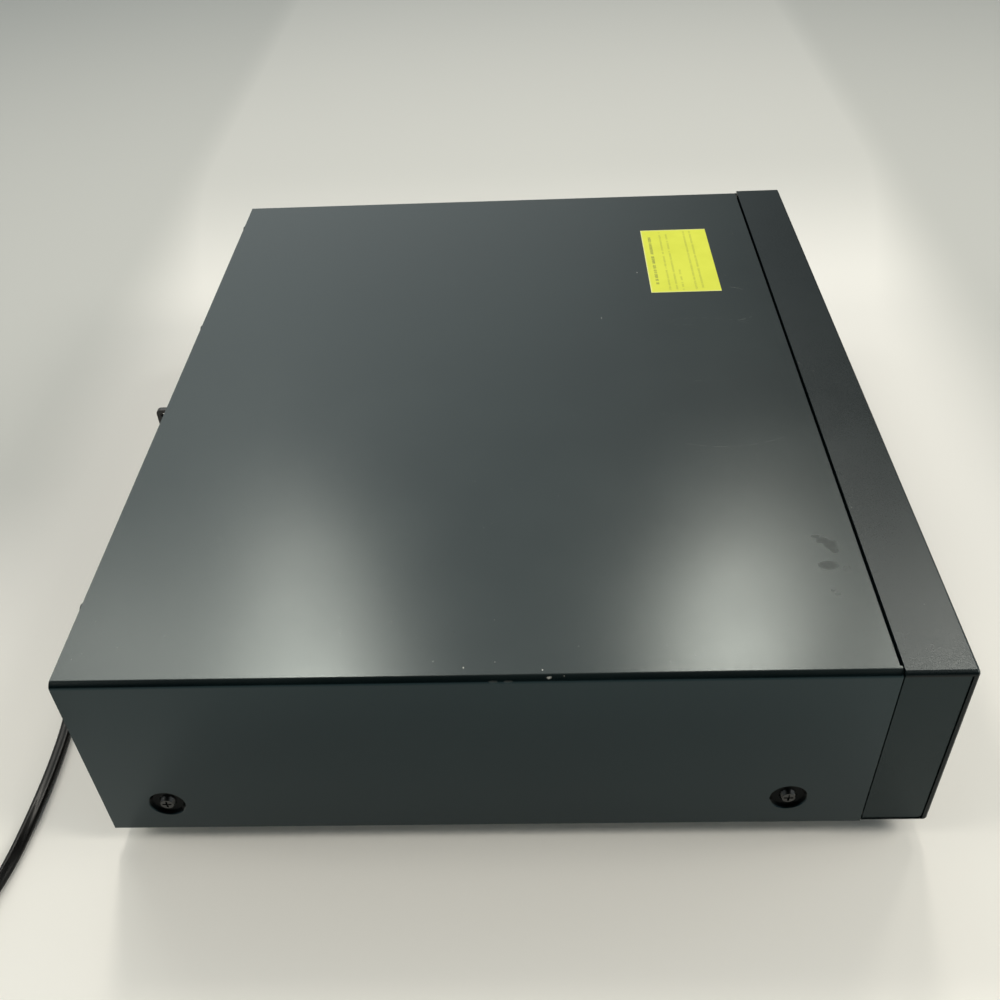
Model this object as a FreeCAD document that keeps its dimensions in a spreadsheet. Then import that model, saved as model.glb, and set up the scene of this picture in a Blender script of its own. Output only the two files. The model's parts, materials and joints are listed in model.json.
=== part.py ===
"""A full-width compact disc changer with a sliding carousel tray, in millimetres.

X points to the unit's right side seen from its front, the front faces -Y, and Z is up.
The origin is on the surface that the feet stand on, at the middle of the unit.
"""
import FreeCAD, Part
import math
import os
import re

import Sketcher

doc = FreeCAD.newDocument("DiscChanger")
Vector = FreeCAD.Vector

# Driving sizes
SIZES = {
    # the outside
    "unit_width": 435.0,
    "body_depth": 367.2,
    "body_height": 100.4,
    "foot_height": 10.0,
    "foot_radius": 20.0,
    "foot_inset": 48.0,
    "cover_inset": 0.8,
    "cover_wall": 1.0,
    "cover_bend": 3.0,
    "cover_lip": 9.0,
    "seam_gap": 0.35,
    "seam_notch": 0.9,
    "chassis_wall": 1.2,
    "side_flange": 30.0,
    "front_flange": 46.0,
    "flange_edge": 10.0,
    "flange_window": 150.0,
    "base_vent_first": 20.0,
    "base_vent_pitch": 16.0,
    "base_vent_width": 4.0,
    "base_vent_length": 48.0,
    "base_vent_rows": 62.0,
    "panel_wall": 1.0,
    "panel_vent_first": -186.0,
    "panel_vent_pitch": 9.0,
    "panel_vent_width": 3.5,
    "panel_vent_top": 22.0,
    "panel_vent_length": 24.0,
    "bezel_depth": 28.6,
    "bezel_wall": 3.0,
    "bezel_proud": 0.8,
    "bezel_edge": 1.2,
    "rim_width": 2.3,
    "rim_depth": 0.5,
    "cap_wall": 1.8,
    "cap_gap": 0.3,
    "bezel_side": 1.9,
    # screws
    "dish_radius": 8.35,
    "dish_depth": 1.5,
    "screw_head": 4.0,
    "screw_head_height": 1.8,
    "screw_shank": 1.5,
    "screw_length": 6.0,
    "cross_length": 4.2,
    "cross_width": 0.9,
    "cross_depth": 0.9,
    "hole_play": 0.1,
    "screw_level": 18.5,
    "rear_screw_inset": 28.7,
    "front_screw_inset": 34.4,
    # what stands out at the back
    "spacer_depth": 11.4,
    "spacer_width": 30.0,
    "spacer_height": 24.0,
    "spacer_top": 101.0,
    "spacer_base": 2.4,
    "spacer_fin": 3.0,
    "spacer_round": 2.5,
    "spacer_hole": 1.5,
    "jack_radius": 4.15,
    "jack_length": 9.2,
    "jack_pitch": 14.0,
    "jack_inset": 99.5,
    "jack_level": 33.0,
    "boot_radius": 5.4,
    "boot_length": 20.0,
    "cord_across": -62.0,
    "cord_level": 26.0,
    "cord_width": 6.0,
    "label_length": 81.0,
    "label_width": 42.0,
    "label_left": 81.0,
    "label_front": 57.6,
    "label_thick": 0.15,
    "optical_half": 5.0,
    "socket_half": 3.5,
    # the front panel
    "door_half": 181.5,
    "door_low": 66.5,
    "door_high": 105.0,
    "door_thick": 5.0,
    "door_recess": 0.6,
    "gap": 0.35,
    "window_half": 75.0,
    "window_low": 33.0,
    "window_high": 58.0,
    "disc_key_pitch": 30.0,
    "key_recess": 0.3,
    "key_depth": 4.4,
    "key_travel": 1.2,
    "board_behind": 13.0,
    "board_wall": 1.6,
    "boss_radius": 3.0,
    "switch_half": 3.0,
    "switch_height": 4.5,
    "plunger_length": 1.0,
    "plunger_radius": 1.6,
    "key_play": 0.3,
    "key_edge": 0.8,
    # the boards and the transformer
    "core_width": 48.0,
    "core_depth": 24.0,
    "core_height": 40.0,
    "winding_width": 30.0,
    "winding_depth": 40.0,
    "winding_height": 24.0,
    "core_foot": 8.0,
    "post_height": 6.0,
    "post_radius": 2.5,
    "post_inset": 5.0,
    "fuse_radius": 2.6,
    "clip_width": 5.0,
    "cable_thick": 0.8,
    "cable_level": 26.0,
    # the tray and its carousel
    "tray_level": 70.0,
    "tray_half": 172.0,
    "tray_wall": 2.0,
    "tray_rise": 20.0,
    "tray_travel": 200.0,
    "notch_half": 46.0,
    "well_circle": 104.0,
    "well_radius": 60.7,
    "well_depth": 2.1,
    "carousel_rim": 1.3,
    "carousel_level": 17.5,
    "carousel_thick": 3.5,
    "carousel_gap": 2.5,
    "pivot_radius": 6.0,
    "bore_gap": 0.3,
    "slot_half": 19.0,
    "ring_module": 1.5,
    "ring_height": 4.3,
    "runner_width": 5.5,
    "runner_thick": 2.0,
    "runner_level": 12.0,
    "slide_gap": 0.3,
    # the loading drive
    "rack_module": 1.5,
    "train_module": 1.25,
    "tooth_gap": 0.3,
    "pinion_back": 60.0,
    "pulley_radius": 18.0,
    "motor_pulley_radius": 5.0,
    "belt_thick": 1.2,
    "belt_height": 1.6,
    "loader_level": 58.0,
    "loader_wall": 2.0,
    "motor_radius": 12.0,
    "motor_height": 20.0,
    # the playing mechanism
    "lift_travel": 8.5,
    "cam_travel": 17.0,
    "frame_half": 33.0,
    "frame_front": 24.0,
    "frame_back": 73.0,
    "frame_level": 6.0,
    "frame_wall": 1.5,
    "turntable_radius": 15.0,
    "sled_start": 25.0,
    "sled_travel": 33.0,
    "rod_radius": 1.5,
    "rod_across": 17.0,
    "screw_across": 25.5,
    "pin_radius": 1.5,
    "bridge_level": 28.0,
    "bridge_half": 18.0,
    "bridge_wall": 1.2,
    "puck_radius": 12.0,
}

sheet = doc.addObject("Spreadsheet::Sheet", "Sizes")
for row, (alias, size) in enumerate(SIZES.items(), start=1):
    sheet.set(f"A{row}", alias)
    sheet.set(f"B{row}", str(size))
    sheet.setAlias(f"B{row}", alias)
doc.recompute()


# Formulas
def formula(text):
    """The text as an expression, with each size's name pointing at its cell."""
    return re.sub(r"[a-z][a-z_0-9]*", lambda word: (
        f"Sizes.{word[0]}" if word[0] in SIZES else word[0]), str(text))


def number(text):
    """What the formula comes to, in millimetres or degrees."""
    answer = sheet.evalExpression(formula(text))
    return float(getattr(answer, "Value", answer))


def mirrored(side, low, high):
    """The span on the right side, or its mirror image on the left."""
    return (low, high) if side > 0 else (f"-({high})", f"-({low})")


# Pieces of shape
def name_of(label):
    return "".join(word.capitalize() for word in label.split("_"))


def put(piece, x, y, z):
    for axis, place in zip("xyz", (x, y, z)):
        piece.setExpression(f"Placement.Base.{axis}", formula(place))
    return piece


def block(label, x, y, z):
    """A box between three pairs of planes."""
    piece = doc.addObject("Part::Box", name_of(label))
    piece.Label = label
    for side, (low, high) in zip(("Length", "Width", "Height"), (x, y, z)):
        piece.setExpression(side, formula(f"({high}) - ({low})"))
    return put(piece, x[0], y[0], z[0])


TURNS = {
    "x": FreeCAD.Rotation(Vector(0, 1, 0), 90),
    "y": FreeCAD.Rotation(Vector(1, 0, 0), -90),
    "z": FreeCAD.Rotation(),
}


def along(piece, axis, centre, low, high):
    """Stand the piece on its low plane, with its axis along X, Y or Z."""
    piece.Placement = FreeCAD.Placement(Vector(), TURNS[axis])
    piece.setExpression("Height", formula(f"({high}) - ({low})"))
    spot = list(centre)
    spot.insert("xyz".index(axis), low)
    return put(piece, *spot)


def rod(label, axis, radius, centre, low, high):
    piece = doc.addObject("Part::Cylinder", name_of(label))
    piece.Label = label
    piece.setExpression("Radius", formula(radius))
    return along(piece, axis, centre, low, high)


def cone(label, axis, radii, centre, low, high):
    piece = doc.addObject("Part::Cone", name_of(label))
    piece.Label = label
    piece.setExpression("Radius1", formula(radii[0]))
    piece.setExpression("Radius2", formula(radii[1]))
    return along(piece, axis, centre, low, high)


def fused(label, pieces):
    piece = doc.addObject("Part::MultiFuse", name_of(label))
    piece.Label = label
    piece.Shapes = pieces
    return piece


def cut(label, base, tools):
    """The base without the tools."""
    piece = doc.addObject("Part::Cut", name_of(label))
    piece.Label = label
    piece.Base = base
    piece.Tool = tools[0] if len(tools) == 1 else fused(label + "_cutters", tools)
    return piece


def group(label, pieces):
    """Alike pieces that stand apart, kept as one node."""
    piece = doc.addObject("Part::Compound", name_of(label))
    piece.Label = label
    piece.Links = pieces
    return piece


def rounded(label, base, radius, chosen):
    """The base with the chosen straight edges rounded."""
    doc.recompute()
    piece = doc.addObject("Part::Fillet", name_of(label))
    piece.Label = label
    piece.Base = base
    size = number(radius)
    edges = enumerate(base.Shape.Edges, start=1)
    piece.Edges = [(place, size, size) for place, edge in edges if chosen(edge)]
    return piece


def given(label, shape):
    """A sub-part whose shape is worked out from the sheet's sizes."""
    piece = doc.addObject("Part::Feature", name_of(label))
    piece.Label = label
    piece.Shape = shape
    return piece


# Sketched bodies
def body(label):
    piece = doc.addObject("PartDesign::Body", name_of(label))
    piece.Label = label
    return piece


def outline(owner, plane, corners, lift="0"):
    """A closed sketch on a plane of the body, each corner tied to its two formulas."""
    sketch = owner.newObject("Sketcher::SketchObject", owner.Name + "Outline")
    origin = [each for each in owner.Origin.OriginFeatures if each.Role == plane][0]
    sketch.AttachmentSupport = [(origin, "")]
    sketch.MapMode = "FlatFace"
    sketch.setExpression("AttachmentOffset.Base.z", formula(lift))
    places = [(number(across), number(up)) for across, up in corners]
    count = len(places)
    for here in range(count):
        start = Vector(*places[here], 0)
        end = Vector(*places[(here + 1) % count], 0)
        sketch.addGeometry(Part.LineSegment(start, end), False)
    for here in range(count):
        following = (here + 1) % count
        sketch.addConstraint(Sketcher.Constraint("Coincident", here, 2, following, 1))
    for here, corner in enumerate(corners):
        for kind, axis, text, place in zip(
                ("DistanceX", "DistanceY"), (-2, -1), corner, places[here]):
            if str(text) == "0":
                sketch.addConstraint(Sketcher.Constraint("PointOnObject", here, 1, axis))
            else:
                rule = Sketcher.Constraint(kind, -1, 1, here, 1, place)
                index = sketch.addConstraint(rule)
                sketch.setExpression(f"Constraints[{index}]", formula(text))
    return sketch


def ring(owner, plane, radius, lift="0", centre=("0", "0")):
    """A round sketch on a plane of the body."""
    sketch = owner.newObject("Sketcher::SketchObject", owner.Name + "Ring")
    origin = [each for each in owner.Origin.OriginFeatures if each.Role == plane][0]
    sketch.AttachmentSupport = [(origin, "")]
    sketch.MapMode = "FlatFace"
    sketch.setExpression("AttachmentOffset.Base.z", formula(lift))
    middle = Vector(number(centre[0]), number(centre[1]), 0)
    sketch.addGeometry(Part.Circle(middle, Vector(0, 0, 1), number(radius)), False)
    index = sketch.addConstraint(Sketcher.Constraint("Radius", 0, number(radius)))
    sketch.setExpression(f"Constraints[{index}]", formula(radius))
    for kind, axis, text in zip(("DistanceX", "DistanceY"), (-2, -1), centre):
        if text == "0":
            sketch.addConstraint(Sketcher.Constraint("PointOnObject", 0, 3, axis))
        else:
            rule = Sketcher.Constraint(kind, -1, 1, 0, 3, number(text))
            index = sketch.addConstraint(rule)
            sketch.setExpression(f"Constraints[{index}]", formula(text))
    return sketch


def feature(owner, kind, sketch, length, back=False, both=False):
    """A pad or a pocket of the sketch; back turns its direction round."""
    made = owner.newObject(f"PartDesign::{kind}", owner.Name + kind)
    made.Profile = sketch
    made.setExpression("Length", formula(length))
    made.Reversed = back
    made.Midplane = both
    return made


def softened(owner, radius, chosen):
    """Round the chosen edges of the body's last feature."""
    doc.recompute()
    last = owner.Tip
    edges = enumerate(last.Shape.Edges, start=1)
    names = [f"Edge{place}" for place, edge in edges if chosen(edge)]
    made = owner.newObject("PartDesign::Fillet", owner.Name + "Fillet")
    made.Base = (last, names)
    made.setExpression("Radius", formula(radius))
    return made


def turned(label, corners, x, y, z, axis="z"):
    """A body turned from half of its section, given as radius and height."""
    piece = body(label)
    sketch = outline(piece, "XZ_Plane", corners)
    made = piece.newObject("PartDesign::Revolution", piece.Name + "Revolution")
    made.Profile = sketch
    made.ReferenceAxis = (sketch, ["V_Axis"])
    made.Angle = 360
    piece.Placement = FreeCAD.Placement(Vector(), TURNS[axis])
    return put(piece, x, y, z)


# Planes that several pieces share
FRONT = "(-(body_depth + spacer_depth) / 2)"
REAR = f"({FRONT} + body_depth)"
PANEL_OUT = f"({REAR} - cover_wall)"
PANEL_IN = f"({PANEL_OUT} - panel_wall)"
BEZEL_BACK = f"({FRONT} + bezel_depth)"
JACK_X = "(unit_width / 2 - jack_inset)"
OPTICAL_X = f"({JACK_X} - 33)"
COVER_FRONT = f"({BEZEL_BACK} + seam_gap)"
COVER_X = "(unit_width / 2 - cover_inset)"
INNER_X = f"({COVER_X} - cover_wall)"
FLANGE_X = f"({INNER_X} - dish_depth)"
TOP = "(foot_height + body_height)"
BASE_TOP = "(foot_height + chassis_wall)"
BEZEL_TOP = f"({TOP} + bezel_proud)"
SCREW_Z = "(foot_height + screw_level)"
REAR_SCREW_Y = f"({REAR} - rear_screw_inset)"
FRONT_SCREW_Y = f"({BEZEL_BACK} + front_screw_inset)"
WINDOW = (("-window_half", "window_half"), ("window_low", "window_high"))
BOARD_Y = f"({FRONT} + board_behind)"
DOOR_Y = f"({FRONT} + door_recess)"
TRAY_Y = f"({DOOR_Y} + door_thick)"
CAROUSEL_RADIUS = "(well_circle + well_radius + carousel_rim)"
TRAY_WELL = f"({CAROUSEL_RADIUS} + carousel_gap)"
CAROUSEL_Y = f"({TRAY_Y} + tray_wall + {TRAY_WELL})"
TRAY_BACK = f"({CAROUSEL_Y} + {TRAY_WELL} + 1)"
PLAY_Y = f"({CAROUSEL_Y} + well_circle)"
PAN_TOP = "(tray_level + tray_wall)"
CAROUSEL_Z = "(tray_level + carousel_level)"
RUNNER_Z = "(tray_level + runner_level)"
RUNNER_X = "(tray_half + runner_width)"
RAIL_IN = f"({RUNNER_X} + 0.5)"
RAIL_OUT = f"({RAIL_IN} + 3)"
LOADER_TOP = "(loader_level + loader_wall)"
BRIDGE_Z = "(tray_level + bridge_level)"
LIFT_Z = "(tray_level + frame_level)"

parts = []


def node(piece):
    parts.append(piece)
    return piece


# Screws
def screw(label, axis, side, centre, seat):
    """A pan-head cross screw; side says which way along the axis its head points."""
    names = (f"{label}_head", f"{label}_shank", f"{label}_slot", f"{label}_cross")
    top = f"({seat} + {side} * screw_head_height)"
    ends = (seat, top) if side > 0 else (top, seat)
    radii = ("screw_head", "screw_head * 0.72") if side > 0 else ("screw_head * 0.72", "screw_head")
    head = cone(names[0], axis, radii, centre, *ends)
    inner = f"({seat} - {side} * screw_length)"
    ends = (inner, seat) if side > 0 else (seat, inner)
    shank = rod(names[1], axis, "screw_shank", centre, *ends)
    floor = f"({top} - {side} * cross_depth)"
    deep = (floor, f"{top} + 1") if side > 0 else (f"{top} - 1", floor)
    cutters = []
    arms = (("cross_length", "cross_width"), ("cross_width", "cross_length"))
    for name, (wide, tall) in zip(names[2:], arms):
        spans = [(f"{centre[0]} - {wide} / 2", f"{centre[0]} + {wide} / 2"),
                 (f"{centre[1]} - {tall} / 2", f"{centre[1]} + {tall} / 2")]
        spans.insert("xyz".index(axis), deep)
        cutters.append(block(name, *spans))
    return cut(label, fused(label + "_blank", [head, shank]), cutters)


# The steel chassis and its panels
BASE_VENTS = 9
PANEL_VENTS = 12
REAR_SCREWS = [(place, f"({TOP} - cover_lip / 2 - 0.5)") for place in ("-170", "60", "190")]


def make_chassis():
    pan = body("chassis_pan")
    foot = [(f"-{FLANGE_X}", BEZEL_BACK), (FLANGE_X, BEZEL_BACK),
            (FLANGE_X, PANEL_IN), (f"-{FLANGE_X}", PANEL_IN)]
    feature(pan, "Pad", outline(pan, "XY_Plane", foot), "side_flange")
    inner_x = f"({FLANGE_X} - chassis_wall)"
    inner = [(f"-{inner_x}", f"{BEZEL_BACK} + chassis_wall"),
             (inner_x, f"{BEZEL_BACK} + chassis_wall"),
             (inner_x, f"{PANEL_IN} - chassis_wall"),
             (f"-{inner_x}", f"{PANEL_IN} - chassis_wall")]
    hollow = outline(pan, "XY_Plane", inner, "chassis_wall")
    feature(pan, "Pocket", hollow, "side_flange", back=True)
    put(pan, "0", "0", "foot_height")
    rise = block("chassis_front", (f"-{FLANGE_X}", FLANGE_X),
                 (BEZEL_BACK, f"{BEZEL_BACK} + chassis_wall"),
                 (BASE_TOP, "foot_height + front_flange"))
    cutters = []
    for side in (-1, 1):
        for end, y in (("rear", REAR_SCREW_Y), ("front", FRONT_SCREW_Y)):
            x = mirrored(side, f"{FLANGE_X} - 3", f"{FLANGE_X} + 1")
            cutters.append(rod(f"flange_hole_{end}_{side + 1}", "x",
                               "screw_shank + hole_play", (y, SCREW_Z), *x))
    for row in (0, 1):
        for place in range(BASE_VENTS):
            left = f"(base_vent_first + {place} * base_vent_pitch)"
            start = f"({CAROUSEL_Y} + {row} * base_vent_rows - 10)"
            cutters.append(block(f"base_vent_{row}_{place}", (left, f"{left} + base_vent_width"),
                                 (start, f"{start} + base_vent_length"),
                                 ("foot_height - 1", f"{BASE_TOP} + 1")))
    opening = block("flange_opening", ("-flange_window", "flange_window"),
                    (f"{BEZEL_BACK} - 1", f"{BEZEL_BACK} + chassis_wall + 1"),
                    (f"{BASE_TOP} + flange_edge", "foot_height + front_flange - flange_edge"))
    flange_y = (f"{PANEL_IN} - chassis_wall - 1", f"{PANEL_IN} + 1")
    cutters.append(opening)
    cutters.append(block("flange_jack_space", (f"{JACK_X} - 42", f"{JACK_X} + 18"), flange_y,
                         ("jack_level - 11", "foot_height + side_flange + 1")))
    cutters.append(block("flange_bushing_space",
                         ("cord_across - boot_radius - 4", "cord_across + boot_radius + 4"),
                         flange_y,
                         ("cord_level - boot_radius - 4", "foot_height + side_flange + 1")))
    node(cut("base_chassis", fused("chassis_blank", [pan, rise]), cutters))


def make_rear_panel():
    plate = block("panel_blank", (f"-{FLANGE_X}", FLANGE_X), (PANEL_IN, PANEL_OUT),
                  ("foot_height", f"{TOP} - cover_wall - 0.4"))
    through = (f"{PANEL_IN} - 1", f"{PANEL_OUT} + 1")
    cutters = [rod("bushing_hole", "y", "boot_radius + 1.2", ("cord_across", "cord_level"),
                   *through)]
    for side in (-1, 1):
        cutters.append(rod(f"jack_hole_{side + 1}", "y", "jack_radius + 0.6",
                           (f"{JACK_X} + {side} * jack_pitch / 2", "jack_level"),
                           *through))
    half = "(optical_half + 0.3)"
    cutters.append(block("optical_hole", (f"{OPTICAL_X} - {half}", f"{OPTICAL_X} + {half}"),
                         through, (f"jack_level - {half}", f"jack_level + {half}")))
    for place in range(PANEL_VENTS):
        left = f"(panel_vent_first + {place} * panel_vent_pitch)"
        cutters.append(block(f"panel_vent_{place}", (left, f"{left} + panel_vent_width"), through,
                             (f"{TOP} - panel_vent_top - panel_vent_length",
                              f"{TOP} - panel_vent_top")))
    for place, (x, z) in enumerate(REAR_SCREWS):
        cutters.append(rod(f"panel_screw_hole_{place}", "y", "screw_shank + hole_play", (x, z),
                           *through))
    node(cut("rear_panel", plate, cutters))


def make_cover():
    """A folded sheet: a flat top, two sides, and a lip turned down at the back."""
    shell = body("cover_shell")
    across = [(f"-{COVER_X}", "foot_height"), (COVER_X, "foot_height"),
              (COVER_X, TOP), (f"-{COVER_X}", TOP)]
    length = f"{REAR} - {COVER_FRONT}"
    feature(shell, "Pad", outline(shell, "XZ_Plane", across, f"-{COVER_FRONT}"), length,
            back=True)
    outer = number(TOP)

    def along_top(edge):
        low, high = edge.BoundBox.ZMin, edge.BoundBox.ZMax
        return edge.BoundBox.YLength > 50 and min(low, high) > outer - 0.01

    softened(shell, "cover_bend", along_top)
    inner = [(f"-{INNER_X}", "foot_height - 1"), (INNER_X, "foot_height - 1"),
             (INNER_X, f"{TOP} - cover_wall"), (f"-{INNER_X}", f"{TOP} - cover_wall")]
    feature(shell, "Pocket", outline(shell, "XZ_Plane", inner, f"-({COVER_FRONT} - 1)"),
            f"{length} + 2")
    half = number(INNER_X)
    under = number(f"{TOP} - cover_wall")

    def inside_bend(edge):
        box = edge.BoundBox
        return (box.YLength > 50 and abs(box.ZMax - under) < 0.01
                and abs(abs(box.XMax) - half) < 0.01)

    softened(shell, "cover_bend - cover_wall", inside_bend)
    lip = block("cover_lip_strip", (f"-({INNER_X} - 2)", f"{INNER_X} - 2"),
                (f"{REAR} - cover_wall", REAR), (f"{TOP} - cover_lip", f"{TOP} - cover_wall"))
    notch_x = f"({COVER_X} - cover_bend - 1)"
    notch = block("seam_notch_space", (f"-{notch_x}", notch_x),
                  (f"{COVER_FRONT} - 1", f"{COVER_FRONT} + seam_notch"),
                  (f"{TOP} - 2 * cover_wall", f"{TOP} + 1"))
    added, cutters = [shell, lip], [notch]
    for side in (-1, 1):
        for end, y in (("rear", REAR_SCREW_Y), ("front", FRONT_SCREW_Y)):
            name = f"dish_{end}_{side + 1}"
            added.append(rod(name + "_boss", "x", "dish_radius", (y, SCREW_Z),
                             *mirrored(side, FLANGE_X, INNER_X)))
            radii = ("dish_radius - dish_depth", "dish_radius + 0.5")
            deep = mirrored(side, f"{COVER_X} - dish_depth", f"{COVER_X} + 0.5")
            cutters.append(cone(name + "_hollow", "x", radii if side > 0 else radii[::-1],
                                (y, SCREW_Z), *deep))
            cutters.append(rod(name + "_hole", "x", "screw_shank + 2 * hole_play", (y, SCREW_Z),
                               *mirrored(side, f"{FLANGE_X} - 1", COVER_X)))
    for place, (x, z) in enumerate(REAR_SCREWS):
        cutters.append(rod(f"lip_hole_{place}", "y", "screw_shank + 2 * hole_play", (x, z),
                           f"{REAR} - cover_wall - 1", f"{REAR} + 1"))
    node(cut("top_cover", fused("cover_blank", added), cutters))


def make_screws():
    sides, seat = [], f"({COVER_X} - dish_depth)"
    for side in (-1, 1):
        for end, y in (("rear", REAR_SCREW_Y), ("front", FRONT_SCREW_Y)):
            place = seat if side > 0 else f"(-{seat})"
            sides.append(screw(f"side_screw_{end}_{side + 1}", "x", side,
                               (y, SCREW_Z), place))
    node(group("side_screws", sides))
    backs = [screw(f"rear_screw_{place}", "y", 1, spot, REAR)
             for place, spot in enumerate(REAR_SCREWS)]
    node(group("rear_screws", backs))


def make_feet():
    """Four moulded feet, wider at the top, with a recess for the fixing screw."""
    section = [("0", "3"), ("4.5", "3"), ("4.5", "0"), ("foot_radius - 3", "0"),
               ("foot_radius - 1.5", "1"), ("foot_radius", "foot_height"),
               ("0", "foot_height")]
    feet = []
    for side in (-1, 1):
        for end, y in (("front", f"{FRONT} + foot_inset"), ("rear", f"{REAR} - foot_inset")):
            feet.append(turned(f"foot_{end}_{side + 1}", section,
                               f"{side} * (unit_width / 2 - foot_inset)", y, "0"))
    node(group("feet", feet))


# The front panel
# Each key's middle across and up, width and height.
HALF = "unit_width / 2"
KEYS = [
    ("power_button", f"(29.5 - {HALF})", 24, 24, 12),
    ("open_button", f"(89.5 - {HALF})", 49, 40, 11),
    ("skip_button", f"(89.5 - {HALF})", 26, 40, 11),
    ("play_button", f"({HALF} - 105.5)", 48, 36, 14),
    ("pause_button", f"({HALF} - 66.5)", 48, 28, 14),
    ("stop_button", f"({HALF} - 32.5)", 48, 28, 14),
    ("back_button", f"({HALF} - 105.5)", 25, 36, 9),
    ("forward_button", f"({HALF} - 61.5)", 25, 36, 9),
]
for place in range(5):
    KEYS.append((f"disc_button_{place + 1}", f"({place - 2} * disc_key_pitch)", 22, 22, 8))


def make_bezel():
    """A moulded front with a door opening, a window opening and holes for the keys."""
    x_out = "(unit_width / 2)"
    side = [(FRONT, "foot_height"), (BEZEL_BACK, "foot_height"),
            (BEZEL_BACK, BEZEL_TOP), (FRONT, BEZEL_TOP)]
    blank = body("bezel_blank")
    feature(blank, "Pad", outline(blank, "YZ_Plane", side), "unit_width", both=True)
    front, low, high = number(FRONT), number("foot_height"), number(BEZEL_TOP)

    def front_edge(level):
        def chosen(edge):
            box = edge.BoundBox
            return (box.XLength > 50 and abs(box.YMax - front) < 0.01
                    and abs(box.ZMax - level) < 0.01)
        return chosen

    half = number("unit_width / 2")

    def side_edge(edge):
        box = edge.BoundBox
        return (box.YLength > 10 and abs(box.ZMax - high) < 0.01
                and abs(abs(box.XMax) - half) < 0.01)

    softened(blank, "bezel_side", side_edge)
    softened(blank, "bezel_edge", front_edge(high))
    softened(blank, "bezel_wall", front_edge(low))
    wall = "(cap_wall + rim_depth)"
    hollow_x = f"({x_out} - {wall} - bezel_wall)"
    cutters = [
        block("bezel_hollow", (f"-{hollow_x}", hollow_x),
              (f"{FRONT} + bezel_wall", f"{BEZEL_BACK} + 1"),
              ("foot_height + bezel_wall", f"{BEZEL_TOP} - bezel_wall")),
        block("door_opening", ("-(door_half + gap)", "door_half + gap"),
              (f"{FRONT} - 1", f"{BEZEL_BACK} + 1"), ("door_low - gap", "door_high + gap")),
        block("window_opening", ("-(window_half + 0.2)", "window_half + 0.2"),
              (f"{FRONT} - 1", f"{FRONT} + bezel_wall + 1"),
              ("window_low - 0.2", "window_high + 0.2")),
    ]
    for side in (-1, 1):
        cutters.append(block(f"cap_seat_{side + 1}",
                             mirrored(side, f"{x_out} - {wall}", f"{x_out} + 1"),
                             (f"{FRONT} + rim_width", f"{BEZEL_BACK} + 1"),
                             ("foot_height + rim_width", f"{BEZEL_TOP} - rim_width")))
    for label, x, z, width, height in KEYS:
        cutters.append(block(f"{label}_hole",
                             (f"{x} - {width / 2} - gap", f"{x} + {width / 2} + gap"),
                             (f"{FRONT} - 1", f"{FRONT} + bezel_wall + 1"),
                             (f"{z - height / 2} - gap", f"{z + height / 2} + gap")))
    shell = cut("bezel_shell", blank, cutters)
    bosses = [rod(f"board_boss_{place}", "y", "boss_radius", (x, z),
                  f"{FRONT} + bezel_wall - 0.1", BOARD_Y)
              for place, (x, z) in enumerate(BOARD_BOSSES)]
    node(fused("front_bezel", [shell] + bosses))


BOARD_BOSSES = [(f"17.5 - {HALF}", "40"), ("-90", "40"), ("-90", "17"), ("86", "17"),
                ("86", "40"), (f"{HALF} - 13.5", "36")]


def make_end_caps():
    outer = "(unit_width / 2 - rim_depth)"
    for name, side in (("left_end_cap", -1), ("right_end_cap", 1)):
        edge_y = f"({FRONT} + rim_width + cap_gap)"
        edge_z = "(foot_height + rim_width + cap_gap)"
        blank = block(name + "_blank", mirrored(side, f"{outer} - cap_wall", outer),
                      (edge_y, BEZEL_BACK), (edge_z, f"{BEZEL_TOP} - rim_width - cap_gap"))
        front, low = number(edge_y), number(edge_z)

        def corner(edge):
            box = edge.BoundBox
            return (box.XLength > 1 and abs(box.YMax - front) < 0.01
                    and abs(box.ZMax - low) < 0.01)

        node(rounded(name, blank, "rim_width", corner))


def make_window():
    pane = block("window_pane", WINDOW[0], (f"{FRONT} + 0.4", f"{FRONT} + bezel_wall"),
                 WINDOW[1])
    flange = block("window_flange", ("-(window_half + 3)", "window_half + 3"),
                   (f"{FRONT} + bezel_wall", f"{FRONT} + bezel_wall + 1.5"),
                   ("window_low - 3", "window_high + 1.5"))
    node(fused("display_window", [pane, flange]))


def make_front_board():
    """The display and switch board, with one small switch behind each key."""
    board = block("board_sheet", (f"9.5 - {HALF}", f"{HALF} - 9.5"),
                  (BOARD_Y, f"{BOARD_Y} + board_wall"),
                  ("foot_height + 4", "62"))
    pieces = [board]
    for label, x, z, width, height in KEYS:
        face = f"({BOARD_Y} - switch_height + plunger_length)"
        pieces.append(block(f"{label}_switch", (f"{x} - switch_half", f"{x} + switch_half"),
                            (face, BOARD_Y), (f"{z} - switch_half", f"{z} + switch_half")))
        pieces.append(rod(f"{label}_plunger", "y", "plunger_radius", (x, z),
                          f"{face} - plunger_length", face))
    node(fused("front_board", pieces))
    glass = block("tube_glass", ("-(window_half - 14)", "window_half - 14"),
                  (f"{BOARD_Y} - 6", BOARD_Y), ("window_low + 2", "window_high - 2"))
    node(rounded("display_tube", glass, "0.8",
                 lambda edge: edge.BoundBox.YMax < number(BOARD_Y) - 5.9))


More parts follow.
